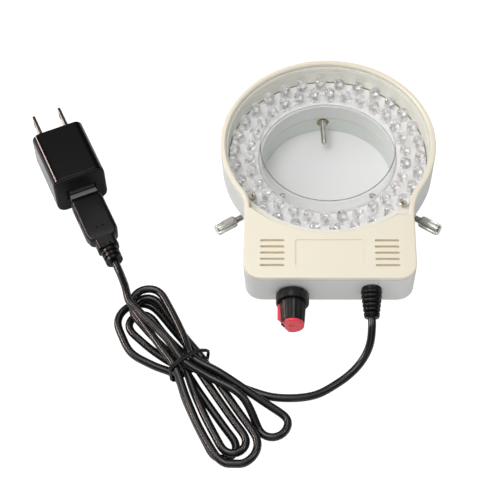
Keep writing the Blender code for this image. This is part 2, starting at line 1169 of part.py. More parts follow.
# Each bend: end (-1 left, 1 right), reach, middle, half width, bulge of its two arms,
# and how early the arms leave the tie (1 straight, more for sooner)
bends = (
    (-1, 0.0425, -0.0058, 0.0097, 0.0004, 0.0030, 1.5),
    (1, 0.0445, -0.0070, 0.0053, 0, 0, 1.4),
    (-1, 0.0365, -0.0058, 0.0054, 0, 0, 1.4),
    (1, 0.0465, -0.0032, 0.0053, 0, 0, 1.5),
    (-1, 0.0405, -0.0008, 0.0060, 0, 0, 1.5),
    (1, 0.0520, -0.0032, 0.0093, 0, 0.0004, 1.5),
    (-1, 0.0420, 0.0005, 0.0070, 0, 0, 1.5),
    (1, 0.0475, 0.0162, 0.0062, 0, 0.0045, 1),
)

# Each run between bends: slot at the tie, then its height as (place along u, layer)
runs = (
    (1.5, ((0, 1), (0.001, 1))),
    (-1.5, ((0, 1), (0.001, 1))),
    (-0.5, ((0, 1), (0.001, 1))),
    (0.5, ((-0.025, 1), (0.010, 2))),
    (-0.5, ((0, 2), (0.001, 2))),
    (1.5, ((0, 2), (0.001, 2))),
    (-1.5, ((-0.008, 3), (0.025, 2))),
    (0.5, ((0.014, 3), (0.043, 1))),
    (-0.5, ((-0.016, 4), (0.008, 3), (0.026, 3), (0.041, 1))),
)
hank_start = (0.009, 0.0082)
hank_end = (-0.030, -0.0060)
arm_shares = (0.3, 0.65)
arc_steps = 6


def run_height(stops, u):
    if u <= stops[0][0]:
        return layer(stops[0][1])
    for (low_u, low), (high_u, high) in zip(stops, stops[1:]):
        if u <= high_u:
            rise = smooth((u - low_u) / (high_u - low_u))
            return layer(low) + (layer(high) - layer(low)) * rise
    return layer(stops[-1][1])


def lift_at(u):
    return waist_lift * math.exp(-((u / waist_lift_length) ** 2))


def spot_on_run(run, u, v):
    slot, stops = run
    return hank_point(u, v, run_height(stops, u) + lift_at(u))


# One arm of a bend: from its slot at the tie out to where the turn starts
def arm(run, end, reach, edge, bulge, early, share):
    u = end * reach * share
    slot = run[0] * strand_pitch
    v = slot + (edge - slot) * (1 - (1 - share) ** early)
    side = 1 if edge > 0 else -1
    v += side * bulge * math.sin(math.pi * share**1.5)
    return spot_on_run(run, u, v)


def hank_route():
    points = [spot_on_run(runs[0], *hank_start)]
    points.append(
        spot_on_run(
            runs[0],
            hank_start[0] - 2 * cord_radius,
            hank_start[1] - cord_radius,
        )
    )
    for i, (end, reach, middle, half, bulge_in, bulge_out, early) in enumerate(bends):
        run_in = runs[i]
        run_out = runs[i + 1]
        points.append(spot_on_run(run_in, 0, run_in[0] * strand_pitch))
        side = 1 if run_in[0] > run_out[0] else -1
        arc_start = reach - half
        for share in arm_shares:
            edge = middle + side * half
            points.append(arm(run_in, end, arc_start, edge, bulge_in, early, share))
        for k in range(arc_steps):
            turn = math.pi * (k / (arc_steps - 1))
            u = end * (arc_start + half * math.sin(turn))
            v = middle + side * half * math.cos(turn)
            run = run_in if k < arc_steps / 2 else run_out
            points.append(spot_on_run(run, u, v))
        for share in reversed(arm_shares):
            edge = middle - side * half
            points.append(arm(run_out, end, arc_start, edge, bulge_out, early, share))
    last = runs[-1]
    points.append(spot_on_run(last, 0, last[0] * strand_pitch))
    slope = (hank_end[1] - last[0] * strand_pitch) / hank_end[0]
    for share in (0.35, 0.7):
        u = hank_end[0] * share
        v = last[0] * strand_pitch + slope * u * share**0.6
        points.append(spot_on_run(last, u, v))
    u = hank_end[0] + 2 * cord_radius
    points.append(spot_on_run(last, u, hank_end[1] + 2 * cord_radius * slope))
    points.append(spot_on_run(last, *hank_end))
    return points


# A smooth curve through the given points, read every few diameters. The first and last
# stretches stay straight, square to what the cord meets.
def smooth_route(points, spacing):
    points = [Vector(p) for p in points]
    dense = []
    for a, b, c, d in zip(points, points[1:], points[2:], points[3:]):
        for i in range(24):
            t = i / 24
            dense.append(
                0.5
                * (
                    2 * b
                    + (c - a) * t
                    + (2 * a - 5 * b + 4 * c - d) * t * t
                    + (3 * b - a - 3 * c + d) * t**3
                )
            )
    dense.append(points[-2])
    total = sum((q - p).length for p, q in zip(dense, dense[1:]))
    count = max(2, round(total / spacing))
    route = [points[0], dense[0]]
    walked = 0
    for p, q in zip(dense, dense[1:]):
        walked += (q - p).length
        if walked >= total * (len(route) - 1) / count and len(route) <= count:
            route.append(q)
    route += [dense[-1], points[-1]]
    ends = (route[1] - route[0]).length + (route[-1] - route[-2]).length
    return route, total + ends


def least_gap(points):
    dense = []
    for p, q in zip(points, points[1:]):
        steps = max(1, round((q - p).length / cord_radius * 2))
        dense += [p + (q - p) * (i / steps) for i in range(steps)]
    walked = [0]
    for p, q in zip(dense, dense[1:]):
        walked.append(walked[-1] + (q - p).length)
    near = 6 * cord_radius
    least = min(
        (dense[i] - dense[j]).length
        for i in range(len(dense))
        for j in range(i + 1, len(dense))
        if walked[j] - walked[i] > near
    )
    return least - 2 * cord_radius


def relief_exit():
    local = relief_tail_frame @ Vector((0, 0, relief_length + clearance))
    ahead = relief_tail_frame @ Vector((0, 0, relief_length + 2 * cord_radius))
    back_to_ring = ring_frame.inverted()
    return back_to_ring @ local, back_to_ring @ ahead


# Both free stretches are drawn from the block's front wall: x, y from the wall, height
lead_route = (
    (0.0177, -0.0185, 0.0126),
    (0.0169, -0.0217, 0.0096),
    (0.0150, -0.0248, 0.0064),
    (0.0120, -0.0282, 0.0036),
    (0.0075, -0.0323, 0.0021),
    (0.0036, -0.0353, 0.0018),
    (-0.0046, -0.0406, 0.0018),
    (-0.0131, -0.0427, 0.0018),
    (-0.0232, -0.0426, 0.0018),
    (-0.0308, -0.0406, 0.0018),
)
tail_route = (
    (-0.0871, -0.0031, 0.0142),
    (-0.0888, 0.0030, 0.0140),
    (-0.0904, 0.0083, 0.0129),
    (-0.0920, 0.0128, 0.0116),
)


def from_wall(route):
    return [(x, y - block_front, z) for x, y, z in route]


def make_cord():
    hank = hank_route()
    hank_tube = tube("cord_hank", hank, cord_radius, 1)
    finish(hank_tube, (0.025, 0.025, 0.025), 0.4)
    print("least gap in the hank, mm", round(least_gap(hank) * 1000, 2))
    start, ahead = relief_exit()
    into = (hank[1] - hank[0]).normalized()
    join_at = hank[0] - into * clearance
    before = hank[0] - into * 3 * cord_radius
    lead, lead_length = smooth_route(
        [start, ahead, *from_wall(lead_route), before, join_at], 4.5 * cord_radius
    )
    finish(tube("cord_lead", lead, cord_radius, 2), (0.025, 0.025, 0.025), 0.4)
    out = (hank[-1] - hank[-2]).normalized()
    leave = hank[-1] + out * clearance
    after = hank[-1] + out * 3 * cord_radius
    back_to_ring = ring_frame.inverted()
    plug_end = charger_frame @ Vector((plug_relief_end + clearance, 0, 0))
    plug_ahead = charger_frame @ Vector((plug_relief_end + 3 * cord_radius, 0, 0))
    tail, tail_length = smooth_route(
        [
            leave,
            after,
            *from_wall(tail_route),
            back_to_ring @ plug_ahead,
            back_to_ring @ plug_end,
        ],
        4.5 * cord_radius,
    )
    finish(tube("cord_tail", tail, cord_radius, 2), (0.025, 0.025, 0.025), 0.4)
    hank_length = sum((q - p).length for p, q in zip(hank, hank[1:]))
    print("cord lengths, m", round(lead_length, 4), round(hank_length, 4), tail_length)


# The tie goes round every strand at the waist, with a slack bow at its upper right
def make_twist_tie():
    strands = [
        (run[0] * strand_pitch, run_height(run[1], 0) + waist_lift) for run in runs
    ]
    offset = cord_radius + tie_gap + tie_radius
    steps = 24
    points = []
    for i in range(steps):
        turn = 2 * math.pi * i / steps
        facing = (math.cos(turn), math.sin(turn))
        v, z = max(strands, key=lambda s: s[0] * facing[0] + s[1] * facing[1])
        bow = math.cos((turn - math.radians(35)) * 1.6)
        slack = tie_bulge * bow * bow if abs(turn - math.radians(35)) < 0.98 else 0
        points.append(
            (
                0,
                v + (offset + slack) * facing[0],
                z + (offset + slack) * facing[1],
            )
        )
    spaced = [points[0]]
    for point in points[1:]:
        if (Vector(point) - Vector(spaced[-1])).length > tie_radius:
            spaced.append(point)
    place = (
        ring_frame
        @ Matrix.Translation((hank_x, hank_y, 0))
        @ Matrix.Rotation(hank_turn, 4, "Z")
        @ Matrix.Diagonal((tie_width_share, 1, 1, 1))
    )
    tie = tube("twist_tie", spaced, tie_radius, 2, place, cyclic=True)
    finish(tie, (0.04, 0.04, 0.045), 0.55)


def section(half_width, half_height, corner):
    return rounded_outline(half_height, half_width, corner, 3)


def make_usb_plug():
    half_w = usb_width / 2
    half_h = usb_height / 2
    deep = usb_gap + usb_seat
    shell = box(
        "usb_shell", (-usb_insertion, -half_w, -half_h), (deep, half_w, half_h), charger_frame
    )
    wall = usb_wall
    cut(
        shell,
        box(
            "usb_shell_inside",
            (-usb_insertion - overrun, wall - half_w, wall - half_h),
            (deep + overrun, half_w - wall, half_h - wall),
            charger_frame,
        ),
    )
    finish(shell, (0.75, 0.75, 0.74), 0.25, 1)
    inner_w = half_w - wall - clearance
    inner_h = half_h - wall - clearance
    tongue = box(
        "usb_tongue",
        (usb_gap, -inner_w, -inner_h),
        (deep - clearance, inner_w, inner_h),
        charger_frame,
    )
    blade = box(
        "usb_tongue_blade",
        (clearance - usb_insertion, -inner_w, inner_h - tongue_height),
        (usb_gap + clearance, inner_w, inner_h),
        charger_frame,
    )
    join(tongue, blade)
    finish(tongue, (0.9, 0.9, 0.9), 0.5)
    half_w = overmould_width / 2
    half_h = overmould_height / 2
    slim = overmould_taper / 3
    corner = overmould_corner
    body = stacked(
        "usb_overmould",
        [
            (usb_gap, section(half_w - slim, half_h - slim, corner / 2)),
            (usb_gap + overmould_taper, section(half_w, half_h, corner)),
            (overmould_end - overmould_taper, section(half_w, half_h, corner)),
            (overmould_end, section(half_w - slim, half_h - slim / 4, corner)),
            (overmould_end + slim, section(neck_width / 2, neck_height / 2, corner)),
            (
                plug_relief_start + slim,
                section(neck_width / 2, neck_height / 2, corner),
            ),
        ],
        along_plug,
    )
    relief_length = plug_relief_end - plug_relief_start
    profile = grooved(
        relief_length,
        plug_relief_radius,
        plug_relief_end_radius,
        plug_relief_grooves,
        plug_groove_depth,
        plug_groove_width,
    )
    profile += [(plug_relief_radius, 0), (0, 0)]
    shift = along_plug @ Matrix.Translation((0, 0, plug_relief_start))
    join(body, turned("plug_relief", profile, 16, shift))
    seat_w = usb_width / 2 + clearance
    seat_h = usb_height / 2 + clearance
    cut(
        body,
        box(
            "usb_shell_seat",
            (usb_gap - overrun, -seat_w, -seat_h),
            (deep + clearance, seat_w, seat_h),
            charger_frame,
        ),
    )
    finish(body, (0.03, 0.03, 0.03), 0.45)


def make_charger():
    half_w = charger_width / 2
    half_h = charger_height / 2
    corner = charger_round
    edge = charger_wall / 2
    case_end = -charger_cap_thickness
    case = stacked(
        "charger_case",
        [
            (-charger_length, section(half_w - edge, half_h - edge, corner - edge)),
            (edge - charger_length, section(half_w, half_h, corner)),
            (case_end, section(half_w, half_h, corner)),
        ],
        along_plug,
    )
    wall = charger_wall
    inside = section(half_w - wall, half_h - wall, corner - wall)
    cut(
        case,
        stacked(
            "case_inside",
            [(wall - charger_length, inside), (case_end + overrun, inside)],
            along_plug,
        ),
    )
    far = -charger_length - blade_length
    root = blade_root - charger_length
    for name, side in (("blade_left", 1), ("blade_right", -1)):
        y = side * blade_spacing / 2
        thick = blade_thickness / 2
        tall = blade_height / 2
        hole = box(
            f"{name}_opening",
            (-charger_length - overrun, y - thick - clearance, -tall - clearance),
            (root, y + thick + clearance, tall + clearance),
            charger_frame,
        )
        cut(case, hole)
        outline = [
            (root, -tall),
            (root, tall),
            (far + blade_chamfer, tall),
            (far, tall - blade_chamfer),
            (far, blade_chamfer - tall),
            (far + blade_chamfer, -tall),
        ]
        sideways = charger_frame @ Matrix.Rotation(math.radians(90), 4, "X")
        blade = stacked(name, [(-y - thick, outline), (thick - y, outline)], sideways)
        hole = turned(
            f"{name}_hole",
            [
                (0, thick + overrun - y),
                (blade_hole_radius, thick + overrun - y),
                (blade_hole_radius, -thick - overrun - y),
                (0, -thick - overrun - y),
            ],
            12,
            sideways @ Matrix.Translation((far + blade_hole_inset, 0, 0)),
        )
        cut(blade, hole)
        finish(blade, (0.70, 0.66, 0.55), 0.3, 1)
    finish(case, (0.02, 0.02, 0.02), 0.25)
    socket_w = usb_width / 2 + clearance
    socket_h = usb_height / 2 + clearance
    cap = stacked(
        "charger_end_cap",
        [
            (case_end + clearance, section(half_w, half_h, corner)),
            (-edge, section(half_w, half_h, corner)),
            (0, section(half_w - edge, half_h - edge, corner - edge)),
        ],
        along_plug,
    )
    reach = 2 * charger_wall + clearance
    lip = section(
        half_w - wall - clearance, half_h - wall - clearance, corner - wall - clearance
    )
    join(
        cap,
        stacked(
            "cap_lip", [(case_end - reach, lip), (case_end + 2 * clearance, lip)], along_plug
        ),
    )
    opening_w = socket_w + usb_wall + clearance
    opening_h = socket_h + usb_wall + clearance
    cut(
        cap,
        box(
            "cap_opening",
            (case_end - reach - overrun, -opening_w, -opening_h),
            (overrun, opening_w, opening_h),
            charger_frame,
        ),
    )
    finish(cap, (0.03, 0.03, 0.03), 0.5)
    make_charger_inside(socket_w, socket_h, case_end - reach)


def make_charger_inside(socket_w, socket_h, cap_back):
    back = -usb_insertion - 2 * clearance - 2 * usb_wall
    outer_w = socket_w + usb_wall
    outer_h = socket_h + usb_wall
    socket = box(
        "charger_socket", (back, -outer_w, -outer_h), (-clearance, outer_w, outer_h), charger_frame
    )
    floor = back + 2 * usb_wall
    cut(
        socket,
        box(
            "socket_inside",
            (floor, -socket_w, -socket_h),
            (overrun, socket_w, socket_h),
            charger_frame,
        ),
    )
    inner_w = usb_width / 2 - usb_wall - clearance
    inner_h = usb_height / 2 - usb_wall - clearance
    tongue_top = inner_h - tongue_height - clearance
    join(
        socket,
        box(
            "socket_tongue",
            (back + usb_wall, -inner_w, -inner_h),
            (-usb_gap, inner_w, tongue_top - clearance),
            charger_frame,
        ),
    )
    finish(socket, (0.7, 0.7, 0.7), 0.3, 1)
    wide = charger_width / 2 - charger_wall - 2 * clearance
    board_top = -socket_h - usb_wall - clearance
    board = box(
        "charger_board",
        (
            blade_root - charger_length + clearance,
            -wide,
            board_top - board_thickness,
        ),
        (cap_back - clearance, wide, board_top),
        charger_frame,
    )
    finish(board, (0.10, 0.25, 0.12), 0.5)


for leftover in list(bpy.data.objects):
    bpy.data.objects.remove(leftover)
parts = new_collection("microscope_ring_light")
cutters = new_collection("cutters")

make_top_shell()
make_lower_housing()
make_case_screws()
make_clear_cover()
make_cover_screws()
make_led_board()
make_collar()
make_thumbscrews()
make_knob()
make_dimmer()
make_control_board()
make_strain_relief()
make_cord()
make_twist_tie()
make_usb_plug()
make_charger()
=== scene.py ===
# Microscope ring light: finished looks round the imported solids. Metres, +Z up.
import json
import math
import random

import bpy
from mathutils import Matrix, Vector

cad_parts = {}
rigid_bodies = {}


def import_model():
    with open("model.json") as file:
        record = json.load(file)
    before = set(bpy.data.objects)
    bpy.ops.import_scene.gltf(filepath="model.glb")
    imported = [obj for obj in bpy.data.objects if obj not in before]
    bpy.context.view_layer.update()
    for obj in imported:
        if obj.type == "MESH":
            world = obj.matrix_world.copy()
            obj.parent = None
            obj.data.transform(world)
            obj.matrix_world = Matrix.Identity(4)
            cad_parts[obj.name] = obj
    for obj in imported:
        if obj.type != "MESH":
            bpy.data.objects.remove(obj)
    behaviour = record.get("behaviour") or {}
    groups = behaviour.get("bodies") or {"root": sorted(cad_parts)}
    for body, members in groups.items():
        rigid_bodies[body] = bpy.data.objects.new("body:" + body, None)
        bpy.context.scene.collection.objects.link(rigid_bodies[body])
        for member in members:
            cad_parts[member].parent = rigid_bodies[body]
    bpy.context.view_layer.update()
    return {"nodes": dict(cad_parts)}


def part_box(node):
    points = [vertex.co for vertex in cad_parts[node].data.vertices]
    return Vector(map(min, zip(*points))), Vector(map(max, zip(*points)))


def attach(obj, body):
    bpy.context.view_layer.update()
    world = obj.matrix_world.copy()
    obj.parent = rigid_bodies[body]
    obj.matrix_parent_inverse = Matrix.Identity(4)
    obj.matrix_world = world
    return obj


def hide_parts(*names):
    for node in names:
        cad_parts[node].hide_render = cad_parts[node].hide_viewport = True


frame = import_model()
ringY = sum(corner.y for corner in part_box("mounting_collar")) / 2
toRing = Matrix.Translation((0, ringY, 0))
# how far the front wall stands from the ring's middle
wallReach = 0.0745
wallY = ringY - wallReach
# how far a cutter goes past what it cuts
overrun = 0.001
ringSides = 120
mm = 0.001
home = Matrix.Identity(4)
# merging distances, the angle below which a solid's faces are one, and broad faces' weight
meshLook = {"merge": 0.00001, "solidMerge": 0.000004, "flatAngle": 0.8, "flatWeight": 80}


def say(stage):
    print("ring light:", stage)


def moved(x, y, z):
    return Matrix.Translation((x, y, z))


def turned(degrees, axis):
    return Matrix.Rotation(math.radians(degrees), 4, axis)


def addObject(name, data):
    made = bpy.data.objects.new(name, data)
    bpy.context.scene.collection.objects.link(made)
    return made


def deselect():
    if bpy.context.object and bpy.context.object.mode != "OBJECT":
        bpy.ops.object.mode_set(mode="OBJECT")
    for item in bpy.context.view_layer.objects:
        item.select_set(False)


def only(piece):
    deselect()
    piece.select_set(True)
    bpy.context.view_layer.objects.active = piece


def openMesh(piece, kind="VERT"):
    only(piece)
    bpy.ops.object.mode_set(mode="EDIT")
    bpy.ops.mesh.select_mode(type=kind)
    bpy.ops.mesh.select_all(action="SELECT")


def closeMesh():
    bpy.ops.object.mode_set(mode="OBJECT")


# Selects the points or edges that a test accepts, and goes on in edit mode
def pick(piece, kind, accepts):
    openMesh(piece, kind)
    bpy.ops.mesh.select_all(action="DESELECT")
    closeMesh()
    items = piece.data.vertices if kind == "VERT" else piece.data.edges
    for item in items:
        item.select = bool(accepts(item))
    bpy.ops.object.mode_set(mode="EDIT")


def place(piece, spot):
    piece.data.transform(spot)
    piece.data.update()
    return piece


def tidy(piece):
    openMesh(piece)
    bpy.ops.mesh.remove_doubles(threshold=meshLook["merge"])
    bpy.ops.mesh.normals_make_consistent(inside=False)
    closeMesh()


def applyAll(piece):
    only(piece)
    for step in list(piece.modifiers):
        bpy.ops.object.modifier_apply(modifier=step.name)


def smoothed(piece, angle=40):
    only(piece)
    bpy.ops.object.shade_smooth_by_angle(angle=math.radians(angle))
    return piece


# Rounds the edges that are sharper than the angle, and keeps broad faces flat
def soften(piece, width, rounds=2, angle=35, smooth=40):
    edge = piece.modifiers.new("roundedEdges", "BEVEL")
    edge.width = width
    edge.segments = rounds
    edge.limit_method = "ANGLE"
    edge.angle_limit = math.radians(angle)
    edge.use_clamp_overlap = True
    edge.miter_outer = "MITER_ARC"
    applyAll(piece)
    smoothed(piece, smooth)
    flat = piece.modifiers.new("flatFaces", "WEIGHTED_NORMAL")
    flat.keep_sharp = True
    flat.weight = meshLook["flatWeight"]
    applyAll(piece)
    return piece


# A copy of a solid, merged into whole faces, as the start of a finer piece
def takeFrom(node, name):
    piece = addObject(name, frame["nodes"][node].data.copy())
    piece.data.materials.clear()
    openMesh(piece)
    bpy.ops.mesh.remove_doubles(threshold=meshLook["solidMerge"])
    bpy.ops.mesh.dissolve_limited(angle_limit=math.radians(meshLook["flatAngle"]))
    closeMesh()
    return piece


def addCircle(name, start, sides, fill="NGON"):
    radius, height = start
    deselect()
    bpy.ops.mesh.primitive_circle_add(
        vertices=sides, radius=radius, fill_type=fill, location=(0, 0, height)
    )
    bpy.context.object.name = name
    bpy.ops.object.transform_apply(location=True)
    return bpy.context.object


# Draws what is selected up from each (radius, height) pair to the next
def drawUp(piece, profile, spot):
    for (radius, height), (wide, high) in zip(profile, profile[1:]):
        bpy.ops.mesh.extrude_region_move(TRANSFORM_OT_translate={"value": (0, 0, high - height)})
        share = wide / radius
        bpy.ops.transform.resize(value=(share, share, 1), center_override=(0, 0, high))
    closeMesh()
    tidy(piece)
    return place(piece, spot)


def turnUp(name, profile, sides, spot=home):
    piece = addCircle(name, profile[0], sides)
    openMesh(piece, "FACE")
    return drawUp(piece, profile, spot)


# A closed section turned round the ring's axis
def turnRing(name, section):
    piece = addCircle(name, section[0], ringSides, "NOTHING")
    openMesh(piece, "EDGE")
    return drawUp(piece, [*section, section[0]], toRing)


# A fluted piece: each tooth has four points, and two of them stand back
def fluteUp(name, profile, teeth, depth, spot):
    radius, height = profile[0]
    piece = addCircle(name, profile[0], teeth * 4)
    share = (radius - depth) / radius
    pick(piece, "VERT", lambda vert: vert.index % 4 < 2)
    bpy.ops.transform.resize(value=(share, share, 1), center_override=(0, 0, height))
    openMesh(piece, "FACE")
    return drawUp(piece, profile, spot)


# A box with the edges along one axis rounded
def roundedBlock(name, low, high, corner, rounds, spot=home, axis=0):
    deselect()
    bpy.ops.mesh.primitive_cube_add(size=1)
    piece = bpy.context.object
    piece.name = name
    size = Vector(b - a for a, b in zip(low, high))
    middle = Vector((a + b) / 2 for a, b in zip(low, high))
    place(piece, Matrix.Translation(middle) @ Matrix.Diagonal((*size, 1)))

    def isLong(edge):
        ends = [piece.data.vertices[i].co for i in edge.vertices]
        return abs(ends[0][axis] - ends[1][axis]) > size[axis] / 2

    pick(piece, "EDGE", isLong)
    bpy.ops.mesh.bevel(offset=corner, segments=rounds)
    closeMesh()
    return place(piece, spot)


# The same, from its middle and half sizes seen from above, and its two heights
def blockAt(name, middle, half, heights, corner, rounds, spot=home, axis=0):
    low = [m - h for m, h in zip(middle, half)]
    high = [m + h for m, h in zip(middle, half)]
    ends = (*low, heights[0]), (*high, heights[1])
    return roundedBlock(name, *ends, corner, rounds, spot, axis)


def joined(name, pieces):
    only(pieces[0])
    for piece in pieces[1:]:
        piece.select_set(True)
    bpy.ops.object.join()
    pieces[0].name = name
    return pieces[0]


def combine(piece, tool, how="DIFFERENCE"):
    step = piece.modifiers.new(how.lower(), "BOOLEAN")
    step.operation = how
    step.solver = "EXACT"
    step.object = tool
    applyAll(piece)
    bpy.data.objects.remove(tool)


# Cuts off what lies beyond a plane, and closes the cut
def cutAway(piece, spot, towards):
    openMesh(piece)
    bpy.ops.mesh.bisect(plane_co=spot, plane_no=towards, clear_outer=True, use_fill=True)
    closeMesh()


def paintOver(piece, material):
    piece.data.materials.clear()
    piece.data.materials.append(finishes[material])


def dress(piece, material, body, slot, *nodes):
    paintOver(piece, material)
    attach(piece, body)
    if nodes:
        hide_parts(*nodes)
    return piece


# A piece that takes its node's place with rounded edges
def refine(node, name, edges, material, body, slot):
    return dress(soften(takeFrom(node, name), *edges), material, body, slot, node)


# Camera: the photograph's own viewing angle and framing
cameraLook = {
    "focalLength": 108,
    "sensorWidth": 36,
    "clipStart": 0.01,
    "distance": 0.65847,
    "elevation": 55.57,
    "azimuth": 2.71,
    "roll": -2.17,
    "target": (-0.03477, -0.05499, 0.0224),
}


def setCamera():
    look = cameraLook
    lens = bpy.data.cameras.new("camera")
    lens.sensor_width = look["sensorWidth"]
    lens.lens = look["focalLength"]
    lens.clip_start = look["clipStart"]
    camera = addObject("camera", lens)
    lean = turned(look["azimuth"], "Z") @ turned(90 - look["elevation"], "X")
    back = turned(look["roll"], "Z") @ moved(0, 0, look["distance"])
    camera.matrix_world = toRing @ moved(*look["target"]) @ lean @ back
    bpy.context.scene.camera = camera


# The charger lies on the table, its long way turned from the room's X
chargerLook = {
    "place": (-0.1135, -0.014, 0.011),
    "turn": -65.5,
    "length": 0.0312,
    "halfWidth": 0.01225,
    "halfHeight": 0.011,
    "corner": 0.004,
    "cornerRounds": 10,
    "insideRounds": 6,
    "wall": 0.0015,
    "cap": 0.0016,
    "caseEdges": (0.00025, 2, 60),
    "capEdges": (0.00018,),
    "bladeLength": 0.0183,
    "bladeRoot": 0.0045,
    "bladeThickness": 0.0015,
    "bladeHeight": 0.0063,
    "bladeSpacing": 0.0127,
    "bladeCorner": 0.00012,
    # the tip's two cuts, then how far from it the blade thins, and to what shares
    "tipCuts": (0.0010, 0.0005),
    "tipShares": ((0.0011, 0.92, 0.97), (0.0006, 0.82, 0.92), (0.0001, 0.62, 0.85)),
    "holeRadius": 0.0016,
    "holeReach": 0.003,
    "holeInset": 0.0035,
    "holeSides": 24,
}
chargerStand = toRing @ moved(*chargerLook["place"]) @ turned(chargerLook["turn"], "Z")

# Sets or links a node's sockets: by their order, or by name with _ for a space
def feed(tree, node, *values, **named):
    sockets = list(enumerate(values))
    sockets += [(label.replace("_", " "), value) for label, value in named.items()]
    for socket, value in sockets:
        if isinstance(value, bpy.types.NodeSocket):
            tree.links.new(value, node.inputs[socket])
        else:
            node.inputs[socket].default_value = value
    return node


# Adds a shader node: names in small letters are its options, the rest its sockets
def addNode(tree, kind, *values, **named):
    node = tree.nodes.new("ShaderNode" + kind)
    for label in [label for label in named if label[0].islower()]:
        setattr(node, label, named.pop(label))
    return feed(tree, node, *values, **named)


# A value moved from one range to another, and held inside it
def mapped(tree, value, *ends, **options):
    return addNode(tree, "MapRange", value, *ends, **options).outputs["Result"]


def objectSpot(tree):
    return addNode(tree, "TexCoord").outputs["Object"]


def newSurface(name, **settings):
    made = bpy.data.materials.new(name)
    made.use_nodes = True
    tree = made.node_tree
    return made, tree, feed(tree, tree.nodes["Principled BSDF"], **settings)


# Studio: a pale floor, soft light from above and a weaker one from the left
studio = {
    "worldStrength": 0.52,
    # what shiny pieces mirror: dark at the horizon, bright overhead
    "mirrorFrom": 0.62,
    "mirrorTo": 1.0,
    "mirrorLow": 0.08,
    "mirrorHigh": 0.9,
    # power, size, place and aim of each lamp
    "lamps": {
        "topLight": (2.15, 0.45, (-0.25, -0.12, 0.70), (-0.03, -0.02, 0)),
        "sideLight": (1.3, 0.3, (-0.55, 0.20, 0.35), (-0.05, -0.03, 0)),
        "frontLight": (0.35, 0.4, (-0.05, -0.60, 0.40), (-0.03, -0.03, 0)),
        "backGlint": (0.45, 0.10, (-0.15, 0.25, 0.65), (0, 0, 0)),
        "rightGlint": (0.45, 0.10, (0.30, -0.10, 0.55), (0, 0, 0)),
        "strip": (2.6, 0.1, (-0.55, 0.02, 0.24), (-0.12, -0.05, 0.02)),
    },
    "notMirrored": ("sideLight",),
    "onlyMirrored": ("backGlint", "rightGlint", "strip"),
    # the narrow pink strip low on the left
    "stripSize": (0.35, 0.055),
    "stripTint": (1, 0.78, 0.70),
    "floorSize": 6,
    "floorHeight": -0.0002,
    "floorWhite": 0.88,
    "floorGlow": 0.85,
    "glowStrength": 1.22,
    # the paper seen through the bore is painted greyer and glows less: painted shade, as the lamp's
    # own shade
    "shadeRadius": 0.033,
    "shadeEdge": 0.002,
    "shadeGlow": 0.03,
    "shadeWhite": 0.80,
}


def seenDirectly(tree):
    rays = addNode(tree, "LightPath").outputs
    either = (rays["Is Camera Ray"], rays["Is Transmission Ray"])
    return addNode(tree, "Math", *either, operation="MAXIMUM").outputs[0]


# White where it's seen, soft light on matt pieces, and a sky for shiny ones to mirror
def setWorld():
    look = studio
    world = bpy.data.worlds.new("studio")
    bpy.context.scene.world = world
    world.use_nodes = True
    tree = world.node_tree
    white = (1, 1, 1, 1)
    soft = feed(tree, tree.nodes["Background"], Color=white, Strength=look["worldStrength"])
    seen = addNode(tree, "Background", Color=white, Strength=1)
    toward = addNode(tree, "SeparateXYZ", addNode(tree, "TexCoord").outputs["Generated"])
    ends = [look[key] for key in ("mirrorFrom", "mirrorTo", "mirrorLow", "mirrorHigh")]
    rise = mapped(tree, toward.outputs["Z"], *ends, interpolation_type="SMOOTHSTEP")
    sky = addNode(tree, "Background", Strength=rise)
    onMatt = addNode(tree, "LightPath").outputs["Is Diffuse Ray"]
    light = addNode(tree, "MixShader", onMatt, sky.outputs[0], soft.outputs[0])
    mix = addNode(tree, "MixShader", seenDirectly(tree), light.outputs[0], seen.outputs[0])
    feed(tree, tree.nodes["World Output"], Surface=mix.outputs[0])


def setLamps():
    look = studio
    for name, (power, size, spot, aim) in look["lamps"].items():
        lamp = bpy.data.lights.new(name, "AREA")
        lamp.energy = power
        lamp.size = size
        holder = addObject(name, lamp)
        holder.location = spot
        inwards = (Vector(aim) - Vector(spot)).normalized()
        holder.rotation_euler = inwards.to_track_quat("-Z", "Y").to_euler()
        holder.visible_glossy = name not in look["notMirrored"]
        holder.visible_diffuse = name not in look["onlyMirrored"]
    # the strip is the last lamp, and is turned to lie along the charger
    lamp.shape = "RECTANGLE"
    lamp.size, lamp.size_y = look["stripSize"]
    lamp.color = look["stripTint"]
    along = chargerStand.to_3x3().col[0]
    along = (along - inwards * along.dot(inwards)).normalized()
    holder.rotation_euler = Matrix((along, along.cross(inwards), -inwards)).transposed().to_euler()


def setFloor():
    look = studio
    deselect()
    bpy.ops.mesh.primitive_plane_add(size=look["floorSize"], location=(0, 0, look["floorHeight"]))
    floor = bpy.context.object
    floor.name = "floor"
    paper, tree, surface = newSurface("paper", Roughness=0.9, Specular_IOR_Level=0.1)
    centred = addNode(tree, "Mapping", objectSpot(tree), Location=(0, -ringY, 0))
    reach = addNode(tree, "VectorMath", centred.outputs["Vector"], operation="LENGTH")

    def inAndOut(within, beyond):
        edges = look["shadeRadius"], look["shadeRadius"] + look["shadeEdge"]
        return mapped(tree, reach.outputs["Value"], *edges, within, beyond)

    feed(tree, surface, Base_Color=inAndOut(look["shadeWhite"], look["floorWhite"]))
    glow = addNode(tree, "Emission", Strength=look["glowStrength"])
    bright = inAndOut(look["shadeGlow"], look["floorGlow"])
    share = addNode(tree, "Math", seenDirectly(tree), bright, operation="MULTIPLY")
    mix = addNode(tree, "MixShader", share.outputs[0], surface.outputs[0], glow.outputs[0])
    feed(tree, tree.nodes["Material Output"], Surface=mix.outputs[0])
    floor.data.materials.append(paper)


